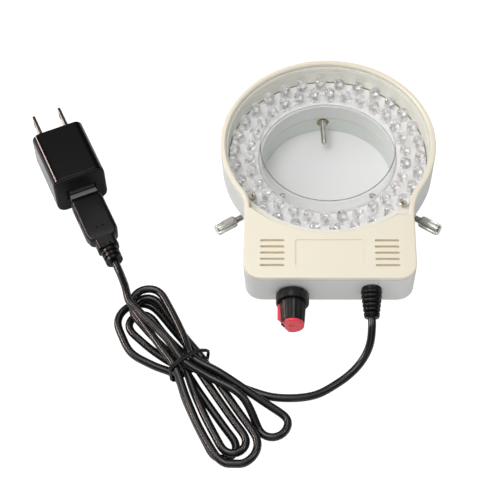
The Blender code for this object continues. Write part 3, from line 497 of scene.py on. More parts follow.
# Colours are written as they show on a screen, 0 to 255
def paint(red, green, blue):
    shares = [value / 255 for value in (red, green, blue)]
    return [s / 12.92 if s <= 0.04045 else ((s + 0.055) / 1.055) ** 2.4 for s in shares] + [1]


# A node group with its inputs' first values; a value's length says what kind it is
def newGroup(name, outputs, **inputs):
    group = bpy.data.node_groups.new(name, "ShaderNodeTree")
    kinds = {3: "NodeSocketVector", 4: "NodeSocketColor"}
    for label, value in inputs.items():
        kind = kinds[len(value)] if isinstance(value, tuple) else "NodeSocketFloat"
        made = group.interface.new_socket(label, in_out="INPUT", socket_type=kind)
        made.default_value = value
    for label, kind in outputs.items():
        group.interface.new_socket(label, in_out="OUTPUT", socket_type="NodeSocket" + kind)
    start = group.nodes.new("NodeGroupInput")
    return group, start.outputs, group.nodes.new("NodeGroupOutput")


# The end of a skin group: a roughness spread by one pattern, and a small bump from another
def finishSkin(group, start, end, patches, fine):
    middle = addNode(group, "Math", patches, 0.5, operation="SUBTRACT").outputs[0]
    spread = (middle, start["Spread"], start["Roughness"])
    rough = addNode(group, "Math", *spread, operation="MULTIPLY_ADD")
    bump = addNode(group, "Bump", Strength=1, Distance=start["Height"], Height=fine)
    feed(group, end, Roughness=rough.outputs[0], Normal=bump.outputs["Normal"])
    return group


skinOutputs = {"Roughness": "Float", "Normal": "Vector"}


# Fine moulded or cast grain
def makeGrain():
    group, start, end = newGroup(
        "mouldedGrain", skinOutputs, Scale=2500, Roughness=0.4, Spread=0.1, Height=0.00001
    )
    where = objectSpot(group)
    fine = addNode(group, "TexNoise", where, Scale=start["Scale"], Detail=4)
    patches = addNode(group, "TexNoise", where, Scale=60, Detail=3)
    return finishSkin(group, start, end, patches.outputs["Fac"], fine.outputs["Fac"])


# Fine lines round or along a machined piece
def makeBrush():
    group, start, end = newGroup(
        "brushLines",
        skinOutputs,
        Stretch=(300, 300, 6000),
        Roughness=0.25,
        Spread=0.15,
        Height=0.000004,
    )
    stretch = (objectSpot(group), start["Stretch"])
    stretched = addNode(group, "VectorMath", *stretch, operation="MULTIPLY")
    lines = addNode(group, "TexNoise", stretched.outputs[0], Scale=1, Detail=3).outputs["Fac"]
    return finishSkin(group, start, end, lines, lines)


# A slow drift between two tones, with a fine fleck in it
def makeTone():
    group, start, end = newGroup(
        "twoTone",
        {"Color": "Color"},
        Main=(0.8, 0.8, 0.8, 1),
        Second=(0.7, 0.7, 0.7, 1),
        Scale=45,
        Share=0.5,
    )
    drift = {"Scale": start["Scale"], "Detail": 5, "Roughness": 0.6}
    noise = addNode(group, "TexNoise", objectSpot(group), **drift).outputs["Fac"]
    share = addNode(group, "Math", noise, start["Share"], operation="MULTIPLY").outputs[0]
    ends = {"Factor": share, "A": start["Main"], "B": start["Second"]}
    mix = addNode(group, "Mix", data_type="RGBA", **ends)
    feed(group, end, Color=mix.outputs["Result"])
    return group


grain = makeGrain()
tone = makeTone()
brush = makeBrush()


def useGroup(tree, group, **values):
    return addNode(tree, "Group", node_tree=group, **values).outputs


def useSkin(tree, surface, group, **values):
    skin = useGroup(tree, group, **values)
    feed(tree, surface, Roughness=skin["Roughness"], Normal=skin["Normal"])


# A plastic or rubber: two close tones, an uneven polish and a fine grain
def plastic(name, main, second, rough, spread=0.1, height=0.00001, scale=2500, mirror=0.5):
    made, tree, surface = newSurface(name, Specular_IOR_Level=mirror)
    colour = useGroup(tree, tone, Main=paint(*main), Second=paint(*second), Share=0.6)
    feed(tree, surface, Base_Color=colour["Color"])
    useSkin(tree, surface, grain, Scale=scale, Roughness=rough, Spread=spread, Height=height)
    return made


def metal(name, main, second, rough):
    made, tree, surface = newSurface(name, Metallic=1)
    colour = useGroup(tree, tone, Main=paint(*main), Second=paint(*second), Scale=200)
    feed(tree, surface, Base_Color=colour["Color"])
    useSkin(tree, surface, brush, Roughness=rough)
    return made


# Two tones, roughness, how much it varies, bump height, grain scale and mirroring
plasticLooks = {
    "creamPlastic": ((240, 233, 214), (232, 223, 201), 0.42, 0.12),
    "ventShadeTan": ((212, 196, 160), (200, 184, 148), 0.5, 0.12),
    "seatPlastic": ((242, 238, 226), (234, 229, 215), 0.42, 0.12),
    "labelShadeCream": ((226, 217, 194), (220, 211, 188), 0.42, 0.12),
    "greyPlastic": ((225, 226, 224), (215, 216, 213), 0.46, 0.12),
    "innerWallLit": ((248, 247, 236), (242, 241, 229), 0.46, 0.12),
    "recessShadeBrown": ((74, 66, 56), (58, 52, 46), 0.5, 0.12),
    "wallLineShade": ((190, 192, 186), (180, 182, 176), 0.5, 0.12),
    "collarPlastic": ((220, 225, 220), (210, 214, 209), 0.5),
    "whiteBoard": ((252, 252, 252), (246, 246, 247), 0.35, 0.1, 0.000004),
    "boardEdgeShade": ((62, 66, 64), (50, 54, 52), 0.5),
    "greenBoard": ((36, 88, 58), (28, 74, 50), 0.35),
    "dieYellow": ((228, 212, 188), (204, 190, 150), 0.4),
    "redPlastic": ((236, 66, 82), (226, 54, 70), 0.3, 0.12),
    "lipGrey": ((104, 104, 104), (78, 78, 79), 0.4, 0.15),
    "tonguePlastic": ((226, 226, 224), (214, 214, 212), 0.5),
    "blackPlastic": ((15, 15, 16), (11, 11, 12), 0.36, 0.15, 0.00001, 2500, 0.38),
    "cordSheath": ((14, 13, 14), (20, 19, 20), 0.28, 0.18, 0.000006, 1800),
    "mouldedBlack": ((9, 9, 10), (14, 14, 15), 0.32, 0.16, 0.00001, 3200, 0.24),
    "tieBand": ((27, 27, 30), (20, 20, 22), 0.48, 0.1, 0.00001, 2500, 0.25),
    "glossBlack": ((6, 6, 8), (9, 9, 11), 0.18, 0.04, 0, 900, 0.34),
    "mattBlack": ((8, 8, 9), (12, 12, 13), 0.5, 0.12, 0.00001, 2600, 0.25),
}
# Two tones and roughness
metalLooks = {
    "steel": ((206, 205, 200), (172, 170, 165), 0.24),
    "nickel": ((226, 224, 220), (190, 187, 182), 0.22),
    "bladeMetal": ((222, 206, 194), (186, 176, 168), 0.2),
    "leadMetal": ((206, 206, 208), (172, 172, 174), 0.26),
    "coverSteel": ((226, 220, 206), (200, 192, 176), 0.3),
    "darkSteel": ((158, 156, 154), (134, 132, 130), 0.32),
    "brassMetal": ((196, 172, 118), (150, 128, 86), 0.3),
}


# A clear surface, more solid where it's seen along than where it's seen face on
def clearSurface(name, tint, blend, faceOn, glancing, skin, **more):
    made, tree, surface = newSurface(name, Base_Color=paint(*tint), **more)
    useSkin(tree, surface, grain, Spread=0.03, **skin)
    edge = addNode(tree, "LayerWeight", Blend=blend).outputs["Facing"]
    feed(tree, surface, Alpha=mapped(tree, edge, 0, 1, faceOn, glancing))
    return made


# The cover's moulded edge, with painted shade: dark towards the front, where it's seen against the
# light, and fading towards the back
edgeShadeLook = {"tint": (104, 106, 108), "from": -0.030, "to": 0.010, "front": 0.58, "back": 0.10}


def makeCoverEdgeShade():
    look = edgeShadeLook
    made, tree, surface = newSurface("coverEdgeShade", Base_Color=paint(*look["tint"]), Roughness=0.4)
    y = addNode(tree, "SeparateXYZ", objectSpot(tree)).outputs["Y"]
    ends = (ringY + look["from"], ringY + look["to"], look["front"], look["back"])
    feed(tree, surface, Alpha=mapped(tree, y, *ends))
    return made


sheetSkin = {"Scale": 900, "Roughness": 0.06, "Height": 0.000002}
epoxySkin = {"Scale": 1100, "Roughness": 0, "Height": 0.00006}
finishes = {
    **{name: plastic(name, *values) for name, values in plasticLooks.items()},
    **{name: metal(name, *values) for name, values in metalLooks.items()},
    "coverPlastic": clearSurface("coverPlastic", (252, 251, 246), 0.35, 0.03, 0.12, sheetSkin),
    "ledEpoxy": clearSurface(
        "ledEpoxy", (255, 255, 255), 0.3, 0.85, 1, epoxySkin, IOR=1.52, Transmission_Weight=1
    ),
    "coverEdgeShade": makeCoverEdgeShade(),
}

setCamera()
setWorld()
setLamps()
setFloor()
bpy.context.scene.view_settings.view_transform = "Standard"
say("camera and studio are set")


# The cord: its points are joined by a smooth line, which is read at even steps and eased
cordLook = {
    "diameter": 0.0035,
    "stepsBetween": 8,
    # shorter stretches between two points stay straight
    "shortest": 0.0015,
    "rounds": 5,
    "step": 0.0015,
    "easings": 30,
    "easeShares": (0.5, -0.53),
    "buried": 0.0003,
    # it's held just above the table, and inside the solids' reach at the front
    "lift": 0.00002,
    "front": -0.13226,
}
# Its two free stretches, listed in millimetres from the front wall
leadRoute = (
    (17.7, -18.5, 12.6),
    (16.9, -21.7, 9.6),
    (15.0, -24.8, 6.4),
    (12.0, -28.2, 3.6),
    (7.5, -32.3, 2.1),
    (3.6, -35.3, 1.8),
    (-4.6, -40.6, 1.8),
    (-13.1, -42.7, 1.8),
    (-23.2, -42.6, 1.8),
    (-30.8, -40.6, 1.8),
)
tailRoute = (
    (-87.1, -3.1, 14.2),
    (-88.8, 3.0, 14.0),
    (-90.4, 8.3, 12.9),
    (-92.0, 12.8, 11.6),
)

# The hank in its own frame, in millimetres: u along it, v across it, both from the tie
hankLook = {
    # the tie's place, in metres from the ring's middle, and the hank's turn
    "middle": (-0.0607, -0.1041),
    "turn": -56.8,
    "slot": 4.3,
    "layer": 4.1,
    "firstLayer": 1.8,
    "waistLift": 1.4,
    "waistLength": 12,
    "start": (9, 8.2),
    "end": (-30, -6.0),
    "endShares": (0.35, 0.7),
    "endEase": 0.6,
    "armShares": (0.3, 0.65),
    "armEase": 1.5,
    "arcSteps": 6,
    # end (-1 left, 1 right), reach, middle, half width, bulges of its arms, how early they leave
    "bends": (
        (-1, 42.5, -5.8, 9.7, 0.4, 3.0, 1.5),
        (1, 44.5, -7.0, 5.3, 0, 0, 1.4),
        (-1, 36.5, -5.8, 5.4, 0, 0, 1.4),
        (1, 46.5, -3.2, 5.3, 0, 0, 1.5),
        (-1, 40.5, -0.8, 6.0, 0, 0, 1.5),
        (1, 52.0, -3.2, 9.3, 0, 0.4, 1.5),
        (-1, 42.0, 0.5, 7.0, 0, 0, 1.5),
        (1, 47.5, 16.2, 6.2, 0, 4.5, 1),
    ),
    # the runs between bends: slot at the tie, then (place along u, layer)
    "runs": (
        (1.5, ((0, 1), (1, 1))),
        (-1.5, ((0, 1), (1, 1))),
        (-0.5, ((0, 1), (1, 1))),
        (0.5, ((-25, 1), (10, 2))),
        (-0.5, ((0, 2), (1, 2))),
        (1.5, ((0, 2), (1, 2))),
        (-1.5, ((-8, 3), (25, 2))),
        (0.5, ((14, 3), (43, 1))),
        (-0.5, ((-16, 4), (8, 3), (26, 3), (41, 1))),
    ),
}


def layerHeight(number):
    return hankLook["firstLayer"] + (number - 1) * hankLook["layer"]


def runHeight(stops, u):
    if u <= stops[0][0]:
        return layerHeight(stops[0][1])
    for (lowU, low), (highU, high) in zip(stops, stops[1:]):
        if u <= highU:
            share = (u - lowU) / (highU - lowU)
            rise = share * share * (3 - 2 * share)
            return layerHeight(low) + (layerHeight(high) - layerHeight(low)) * rise
    return layerHeight(stops[-1][1])


hankStand = moved(*hankLook["middle"], 0) @ turned(hankLook["turn"], "Z")


def spotOnRun(run, u, v):
    look = hankLook
    lift = look["waistLift"] * math.exp(-((u / look["waistLength"]) ** 2))
    return hankStand @ (Vector((u, v, runHeight(run[1], u) + lift)) * mm)


# One arm of a bend: from its slot at the tie out to where the turn starts
def armSpot(run, end, reach, edge, bulge, early, share):
    slot = run[0] * hankLook["slot"]
    v = slot + (edge - slot) * (1 - (1 - share) ** early)
    v += math.copysign(bulge, edge) * math.sin(math.pi * share ** hankLook["armEase"])
    return spotOnRun(run, end * reach * share, v)


def hankRoute():
    look = hankLook
    runs, radius = look["runs"], cordLook["diameter"] / 2 / mm
    u, v = look["start"]
    points = [spotOnRun(runs[0], u, v), spotOnRun(runs[0], u - 2 * radius, v - radius)]
    last = look["arcSteps"] - 1
    for runIn, runOut, bend in zip(runs, runs[1:], look["bends"]):
        end, reach, middle, half, bulgeIn, bulgeOut, early = bend
        points.append(spotOnRun(runIn, 0, runIn[0] * look["slot"]))
        swing = half if runIn[0] > runOut[0] else -half
        start = reach - half
        arm = (end, start, middle + swing, bulgeIn, early)
        points += [armSpot(runIn, *arm, share) for share in look["armShares"]]
        for k in range(last + 1):
            turn = math.pi * k / last
            run = runIn if k < (last + 1) / 2 else runOut
            u = end * (start + half * math.sin(turn))
            points.append(spotOnRun(run, u, middle + swing * math.cos(turn)))
        arm = (end, start, middle - swing, bulgeOut, early)
        points += [armSpot(runOut, *arm, share) for share in reversed(look["armShares"])]
    run = runs[-1]
    v = run[0] * look["slot"]
    endU, endV = look["end"]
    slope = (endV - v) / endU
    points.append(spotOnRun(run, 0, v))
    for share in look["endShares"]:
        u = endU * share
        points.append(spotOnRun(run, u, v + slope * u * share ** look["endEase"]))
    points.append(spotOnRun(run, endU + 2 * radius, endV + 2 * radius * slope))
    points.append(spotOnRun(run, endU, endV))
    return points


# The relief droops a little from a knee in front of the wall
reliefLook = {
    "x": 0.018,
    "z": 0.0195,
    "knee": 0.0018,
    "droop": 17,
    "length": 0.0105,
    "rootRadius": 0.00462,
    "endRadius": 0.0033,
    "grooves": (0.0001, 0.0021, 0.0041, 0.0061, 0.0079),
    "grooveDepth": 0.0008,
    "rib": 0.0020,
    "ribSteps": 9,
    "ribEase": 0.3,
    "ribsFrom": -0.0030,
    # the root inside the wall, then the plain end
    "rootShare": 0.7,
    "rootHeights": (-0.0036, -0.0034),
    "plainFrom": 0.0006,
    "endEase": (0.0003, 0.0004),
    "mouth": 0.0017,
    "sides": 40,
    "neckRadius": 0.0030,
    "neckEnd": 0.0003,
    "neckSides": 24,
    "flange": (0.0044, 0.0012),
    "innerFace": -0.0033,
}
reliefRoot = moved(reliefLook["x"], wallY, reliefLook["z"]) @ turned(90, "X")
reliefTail = reliefRoot @ moved(0, 0, reliefLook["knee"]) @ turned(reliefLook["droop"], "X")
plugLook = {
    "cordEnd": 0.0437,
    "halfWidth": 0.00755,
    "halfHeight": 0.00375,
    "gripEdge": 0.00016,
    "ribs": 6,
    "ribStart": 0.0112,
    "ribPitch": 0.00105,
    "ribWidth": 0.0006,
    "ribDepth": 0.0006,
    "ribHeightShare": 0.6,
    "ribCorner": 0.0001,
    "dotsAt": 0.0252,
    "dotSpread": 0.0015,
    "dotRadius": 0.00042,
    "dotDepth": 0.0009,
    "dotSides": 16,
    "line": ((0.008, 0.0043), (0.0172, 0.0046)),
    "lineDepth": 0.0003,
    "lineCorner": 0.00002,
    "shellHalfWidth": 0.006,
    "shellHalfHeight": 0.00225,
    "shellEdges": (0.00008,),
    # start, end, how much wider and higher than the shell, and corner
    "gap": (0.0017, 0.0026, 0.0002, 0.0002, 0.0002),
    "lip": (0.0026, 0.0049, 0.0003, 0.0002, 0.0003),
}


def smoothLine(points):
    line = [points[0]]
    padded = [points[0]] + points + [points[-1]]
    for a, b, c, d in zip(padded, padded[1:], padded[2:], padded[3:]):
        count = cordLook["stepsBetween"] if (c - b).length > cordLook["shortest"] else 1
        for i in range(1, count + 1):
            t = i / count
            pull = 0.5 * (c - a) * t + 0.5 * (2 * a - 5 * b + 4 * c - d) * t * t
            line.append(b + pull + 0.5 * (3 * b - a - 3 * c + d) * t**3)
    return line


# The line read at even steps, its corners eased without drawing its bends in
def evened(line):
    step = cordLook["step"]
    spots, walked, due = [line[0]], 0, step
    for p, q in zip(line, line[1:]):
        reach = (q - p).length
        while walked + reach >= due:
            spots.append(p + (q - p) * ((due - walked) / reach))
            due += step
        walked += reach
    spots.append(line[-1])
    for _ in range(cordLook["easings"]):
        for share in cordLook["easeShares"]:
            inner = [
                b + ((a + c) / 2 - b) * share
                for a, b, c in zip(spots[2:-4], spots[3:-3], spots[4:-2])
            ]
            spots = spots[:3] + inner + spots[-3:]
    return spots


def makeCord():
    look = cordLook
    radius = look["diameter"] / 2
    fromWall = moved(0, wallY, 0)
    exits = (reliefLook["length"] + out for out in (look["buried"], 2 * radius))
    points = [reliefTail @ Vector((0, 0, out)) for out in exits]
    points += [fromWall @ (Vector(spot) * mm) for spot in leadRoute]
    hank = [toRing @ spot for spot in hankRoute()]
    points.append(hank[0] - (hank[1] - hank[0]).normalized() * 3 * radius)
    points += hank
    points.append(hank[-1] + (hank[-1] - hank[-2]).normalized() * 3 * radius)
    points += [fromWall @ (Vector(spot) * mm) for spot in tailRoute]
    points += [chargerStand @ Vector((plugLook["cordEnd"] + out, 0, 0)) for out in (3 * radius, 0)]
    line = evened(smoothLine(points))
    for spot in line:
        spot.z = max(spot.z, radius + look["lift"])
        spot.y = max(spot.y, look["front"])
    shape = bpy.data.curves.new("cord", "CURVE")
    shape.dimensions = "3D"
    shape.bevel_depth = radius
    shape.bevel_resolution = look["rounds"]
    shape.use_fill_caps = True
    run = shape.splines.new("POLY")
    run.points.add(len(line) - 1)
    for slot, spot in zip(run.points, line):
        slot.co = (*spot, 1)
    run.use_smooth = True
    cord = addObject("cord", shape)
    dress(cord, "cordSheath", "head", "cord_black", "cord_lead", "cord_hank", "cord_tail")
    length = sum((q - p).length for p, q in zip(line, line[1:]))
    return cord, points[0], length


# The tie: a flat band with a wire down its middle, round the hank's waist
tieLook = {
    "halfWidth": 0.00095,
    "thickness": 0.0006,
    "wire": 0.0003,
    # the band's cross-section: shares of its half width and half thickness
    "sectionShares": (
        (-1, -0.4), (-1, 0.4), (-0.8, 1), (-0.3, 1), (0, 1), (0.3, 1),
        (0.8, 1), (1, 0.4), (1, -0.4), (0.8, -1), (-0.8, -1),
    ),
    # from a strand's surface to the band's middle
    "clearance": 0.00085,
    "facets": 96,
    "step": 0.0008,
    "easings": 24,
    # where and how far the band stands off the strands
    "bow": 0.0018,
    "bowAt": 35,
    "bowSharpness": 1.6,
    "bowReach": 0.98,
    # where the strands cross the tie, in millimetres: across the hank, and up
    "strands": (
        (6.45, 3.2), (-6.45, 3.2), (-2.15, 3.2), (2.15, 6.5), (-2.15, 7.3),
        (6.45, 7.3), (-6.45, 10.8), (2.15, 11.4), (-2.15, 12.5),
    ),
}


# A closed line round the outermost strands, at even steps
def tieLine():
    look = tieLook
    offset = cordLook["diameter"] / 2 + look["clearance"]
    corners = []
    for i in range(look["facets"]):
        angle = 2 * math.pi * i / look["facets"]
        aim = Vector((0, math.cos(angle), math.sin(angle)))
        outer = max(look["strands"], key=lambda s: s[0] * aim.y + s[1] * aim.z)
        lean = angle - math.radians(look["bowAt"])
        bowed = abs(lean) < look["bowReach"]
        slack = look["bow"] * math.cos(lean * look["bowSharpness"]) ** 2 if bowed else 0
        corners.append(Vector((0, *outer)) * mm + aim * (offset + slack))
    line = []
    for spot, after in zip(corners, corners[1:] + corners[:1]):
        step = after - spot
        parts = max(1, round(step.length / look["step"]))
        line += [spot + step * (k / parts) for k in range(parts)]
    for _ in range(look["easings"]):
        line = [(a + b * 2 + c) / 4 for a, b, c in zip(line[-1:] + line, line, line[1:] + line[:1])]
    return line


def makeTie():
    look = tieLook
    half, thick = look["halfWidth"], look["thickness"] / 2
    section = [(x * half, z * thick + (0 if x else look["wire"])) for x, z in look["sectionShares"]]
    line, size = tieLine(), len(section)
    count = len(line)
    verts, faces = [], []
    for i, spot in enumerate(line):
        j = (i + 1) % count
        ahead = line[j] - line[i - 1]
        outwards = Vector((0, ahead.z, -ahead.y)).normalized()
        for k, (along, out) in enumerate(section):
            verts.append(toRing @ hankStand @ (spot + outwards * out + Vector((along, 0, 0))))
            n = (k + 1) % size
            faces.append((i * size + k, j * size + k, j * size + n, i * size + n))
    mesh = bpy.data.meshes.new("twistTie")
    mesh.from_pydata(verts, [], faces)
    tie = addObject("twistTie", mesh)
    tidy(tie)
    smoothed(tie, 50)
    return dress(tie, "tieBand", "head", "tie_black", "twist_tie")


# The head's own pieces, from their solids: name, edge widths, material and slot
headLook = {
    "top_shell": ("topShell", 0.00028, "creamPlastic", "cream_plastic"),
    "lower_housing": ("lowerHousing", 0.0003, "greyPlastic", "light_grey_plastic"),
    "mounting_collar": ("mountingCollar", 0.00035, "collarPlastic", "collar_plastic"),
    "clear_cover": ("clearCover", 0.0002, "coverPlastic", "clear_plastic"),
    "cover_screw_left": ("coverScrewLeft", 0.0001, "coverSteel", "screw_steel"),
    "cover_screw_right": ("coverScrewRight", 0.0001, "coverSteel", "screw_steel"),
}
# The solids that stay as they are, under their materials
keptSolids = (
    ("steel", ("case_screw_left", "case_screw_right", "case_screw_front", "pot_nut", "pot_shaft")),
    ("brassMetal", ("insert_rear", "insert_left", "insert_right")),
    ("greenBoard", ("control_board", "pot_body", "charger_board")),
    ("mattBlack", ("charger_socket",)),
    ("tonguePlastic", ("usb_tongue",)),
)

# Small shapes on the head; sections are (radius, height) pairs
detailLook = {
    # the seats under the cover's two ears: left, front, right and back
    "seats": ((-0.0358, -0.0376, -0.0320, -0.0285), (0.0305, -0.0420, 0.0358, -0.0316)),
    "seatHeights": (0.02463, 0.02488),
    "seatRing": (0.0462, 0.0560),
    "seatCorner": 0.0001,
    "screws": ((-0.0340, -0.0287), (0.0329, -0.0327)),
    "crossHalf": (0.00024, 0.00135),
    "crossHeights": (0.0264, 0.02692),
    "crossCorner": 0.0001,
    # a darker frame just inside the label's recess, painted shade along its edges: half length,
    # half width and half edge
    "labelFrame": (0.0150, 0.0070, 0.00022),
    "labelHeights": (0.02962, 0.02985),
    "labelCorner": 0.00005,
    # the vents' floors, a darker tan than the shell: painted shade in the slots
    "ventX": 0.02485,
    "ventY": -0.0615,
    "ventRows": range(-2, 3),
    "ventPitch": 0.00324,
    "ventHalf": (0.0053, 0.00056),
    "ventHeights": (0.0272, 0.0290),
    "ventCorner": 0.0004,
    # a bead round the cover's bore, its grey painted shade at the front, and a dark ring at the
    # board's edge: painted shade where the board meets the wall
    "bead": ((0.0305, 0.02585), (0.0309, 0.02625), (0.0312, 0.02615), (0.0309, 0.0258)),
    "boardEdge": ((0.0453, 0.0168), (0.0458, 0.0168), (0.0458, 0.01775), (0.0453, 0.01775)),
    # a thin sheet on the inner wall, paler and warmer than the housing: painted light; behind the
    # cover's rim it goes on up to the shell
    "litSheet": (
        (0.04574, 0.0178), (0.04596, 0.0178), (0.04596, 0.02464), (0.0478, 0.02464),
        (0.0478, 0.02484), (0.04574, 0.02484),
    ),
    "litSheetTop": ((0.04578, 0.0248), (0.04596, 0.0248), (0.04596, 0.02785), (0.04578, 0.02785)),
    "litSheetFront": -0.018,
    # a darker line down the front wall: painted shade
    "shadeLineX": 0.0208,
    "shadeLineHalf": 0.00006,
    "shadeLineDepths": (-0.00002, 0.0002),
    "shadeLineHeights": (0.0190, 0.0279),
    "shadeLineCorner": 0.00002,
}


def addSeats():
    look = detailLook
    low, high = look["seatHeights"]
    near, far = look["seatRing"]
    under, over = low - overrun, high + overrun
    seats = []
    for left, front, right, back in look["seats"]:
        ends = (left, front, low), (right, back, high)
        seat = roundedBlock("seat", *ends, look["seatCorner"], 1, toRing, axis=2)
        band = turnRing("seatBand", [(near, under), (far, under), (far, over), (near, over)])
        combine(seat, band, "INTERSECT")
        seats.append(seat)
    dress(joined("coverSeats", seats), "seatPlastic", "head", "cream_plastic")


# A darker frame inside the label's recess: painted shade round its edges
def addLabelEdge():
    look = detailLook
    long, wide, edge = look["labelFrame"]
    bars = [((0, side * wide), (long, edge)) for side in (-1, 1)]
    bars += [((side * long, 0), (edge, wide)) for side in (-1, 1)]
    spot = toRing @ moved(0, look["ventY"], 0)
    finish = (look["labelHeights"], look["labelCorner"], 1, spot)
    frames = [blockAt("frame", middle, half, *finish) for middle, half in bars]
    dress(joined("labelEdge", frames), "labelShadeCream", "head", "cream_plastic")


# Floors in the vent slots, tan as painted shade in them
def addVentFloors():
    look = detailLook
    finish = (look["ventHalf"], look["ventHeights"], look["ventCorner"], 2, toRing)
    floors = []
    for side in (-1, 1):
        for row in look["ventRows"]:
            middle = (side * look["ventX"], look["ventY"] + row * look["ventPitch"])
            floors.append(blockAt("ventFloor", middle, *finish, axis=2))
    dress(joined("ventFloors", floors), "ventShadeTan", "head", "cream_plastic")


def addRings():
    look = detailLook
    # the bead round the bore, its grey fading from front to back: painted shade
    bead = smoothed(turnRing("coverBead", look["bead"]), 60)
    dress(bead, "coverEdgeShade", "head", "clear_plastic")
    # a dark ring at the board's edge: painted shade where the board meets the wall
    edge = smoothed(turnRing("boardEdge", look["boardEdge"]), 60)
    dress(edge, "boardEdgeShade", "head", "led_board")
    # the inner wall's sheet is painted lighter than the housing: painted light
    litSheet = turnRing("litWallSheet", look["litSheet"])
    upper = turnRing("litSheetTop", look["litSheetTop"])
    cutAway(upper, (0, ringY + look["litSheetFront"], 0), (0, -1, 0))
    litSheet = smoothed(joined("litWallSheet", [litSheet, upper]), 60)
    dress(litSheet, "innerWallLit", "head", "light_grey_plastic")


# Dark bars over the cover screws' cross recesses: painted shade in the recesses
def addCrosses():
    look = detailLook
    finish = (look["crossHeights"], look["crossCorner"], 1, toRing)
    crosses = []
    for spot in look["screws"]:
        for half in (look["crossHalf"], look["crossHalf"][::-1]):
            crosses.append(blockAt("cross", spot, half, *finish))
    dress(joined("screwRecessShade", crosses), "recessShadeBrown", "head", "screw_steel")


# A thin darker line down the front wall: painted shade
def addWallShadeLine():
    look = detailLook
    left, right = (look["shadeLineX"] + side * look["shadeLineHalf"] for side in (-1, 1))
    (front, back), (low, high) = look["shadeLineDepths"], look["shadeLineHeights"]
    ends = (left, wallY + front, low), (right, wallY + back, high)
    darkLine = roundedBlock("wallShadeLine", *ends, look["shadeLineCorner"], 1)
    dress(darkLine, "wallLineShade", "head", "light_grey_plastic")


def makeHead():
    for node, (name, edge, material, slot) in headLook.items():
        refine(node, name, (edge,), material, "head", slot)
    addSeats()
    addLabelEdge()
    addVentFloors()
    addRings()
    addCrosses()
    addWallShadeLine()
    for material, nodes in keptSolids:
        for node in nodes:
            paintOver(frame["nodes"][node], material)


# LEDs: a clear dome on a flanged foot, with its lead frame and die inside
ledLook = {
    "count": 30,
    # each row's radius and the place of its first LED
    "rows": ((0.0425, 9.7), (0.0359, 15.7)),
    "radius": 0.00245,
    "footRadius": 0.00275,
    "footHeights": (0, 0.0009, 0.00095),
    "height": 0.0067,
    "domeTurns": range(0, 90, 15),
    "sides": 14,
    "tilt": 2.5,
    "cup": (
        (0.0003, 0.0003), (0.0004, 0.0022), (0.00094, 0.0031), (0.00074, 0.00308), (0.0002, 0.0025),
    ),
    "cupSides": 12,
    # low and high corners, and how far the edges are rounded
    "post": ((0.0009, -0.0003, 0.0003), (0.0015, 0.0003, 0.0031), 0.00008),
    "die": ((-0.00028, -0.00028, 0.0025), (0.00028, 0.00028, 0.0028), 0.00006),
    # the board's inner and outer radius, then its heights
    "board": (0.0319, 0.0456, 0.0160, 0.0176),
    "boardEdge": 0.00015,
    # the notches for the cover's screws: radius, heights and sides
    "notch": (0.0023, 0.010, 0.020, 24),
}


def ledParts():
    look = ledLook
    radius, foot = look["radius"], look["footRadius"]
    shoulder = look["height"] - radius
    profile = list(zip((foot, foot, radius), look["footHeights"]))
    for turn in look["domeTurns"]:
        turn = math.radians(turn)
        profile.append((radius * math.cos(turn), shoulder + radius * math.sin(turn)))
    lens = smoothed(turnUp("ledLens", profile, look["sides"]), 50)
    cup = smoothed(turnUp("ledCup", look["cup"], look["cupSides"]))
    post = roundedBlock("ledPost", *look["post"], 1, axis=2)
    die = roundedBlock("ledDie", *look["die"], 1, axis=2)
    return lens, cup, post, die


def makeLeds():
    look = ledLook
    inner, outer, low, top = look["board"]
    lens, cup, post, die = ledParts()
    chance = random.Random(7)
    lenses, frames, dies = [], [], []
    for radius, first in look["rows"]:
        for i in range(look["count"]):
            spot = (
                toRing
                @ turned(first + i * 360 / look["count"], "Z")
                @ moved(radius, 0, top)
                @ turned(chance.uniform(-1, 1) * look["tilt"], "X")
                @ turned(chance.uniform(-1, 1) * look["tilt"], "Y")
                @ Matrix.Rotation(chance.uniform(0, 2 * math.pi), 4, "Z")
            )
            for part, kin in ((lens, lenses), (cup, frames), (post, frames), (die, dies)):
                kin.append(place(addObject(part.name, part.data.copy()), spot))
    for part in (lens, cup, post, die):
        bpy.data.objects.remove(part)
    dress(joined("ledLenses", lenses), "ledEpoxy", "head", "clear_plastic")
    dress(joined("ledFrames", frames), "leadMetal", "head", "nickel")
    dress(joined("ledDies", dies), "dieYellow", "head", "nickel")
    plate = turnRing("ledPlate", [(outer, low), (outer, top), (inner, top), (inner, low)])
    wide, deep, high, sides = look["notch"]
    for x, y in detailLook["screws"]:
        spot = toRing @ moved(x, y, 0)
        combine(plate, turnUp("notch", [(wide, deep), (wide, high)], sides, spot))
    soften(plate, look["boardEdge"])
    dress(plate, "whiteBoard", "head", "led_board", "led_board")


# Thumbscrews: a threaded shank that travels, and a knurled head that turns
thumbLook = {
    "height": 0.006,
    "turns": {"rear": 93, "left": 213, "right": 327},
    "tips": {"rear": 0.0175, "left": 0.0235, "right": 0.0235},
    "tipRadii": (0.0005, 0.0009),
    "tipLength": 0.0009,
    "threadFrom": 0.0012,
    "threadRadius": 0.00148,
    "threadRoot": 0.00122,
    "pitch": 0.0005,
    # where a thread's crest begins and ends, in shares of the pitch
    "crestShares": (0.4, 0.6),
    "coreShare": 0.5,
    "sides": 20,
    "grip": 0.027,
    "socket": 0.0050,
    "socketEntry": 0.002,
    "socketClearance": 0.0003,
    "headRadius": 0.0027,
    "headLength": 0.010,
    # how much narrower than the head, and how far from its end
    "headEase": ((0.00054, 0), (0.0002, 0.0004), (0, 0.0008)),
    "headEndEase": ((0, 0.0008), (0.0002, 0.0005), (0.00054, 0)),
    "teeth": 16,
    "toothDepth": 0.0003,
}


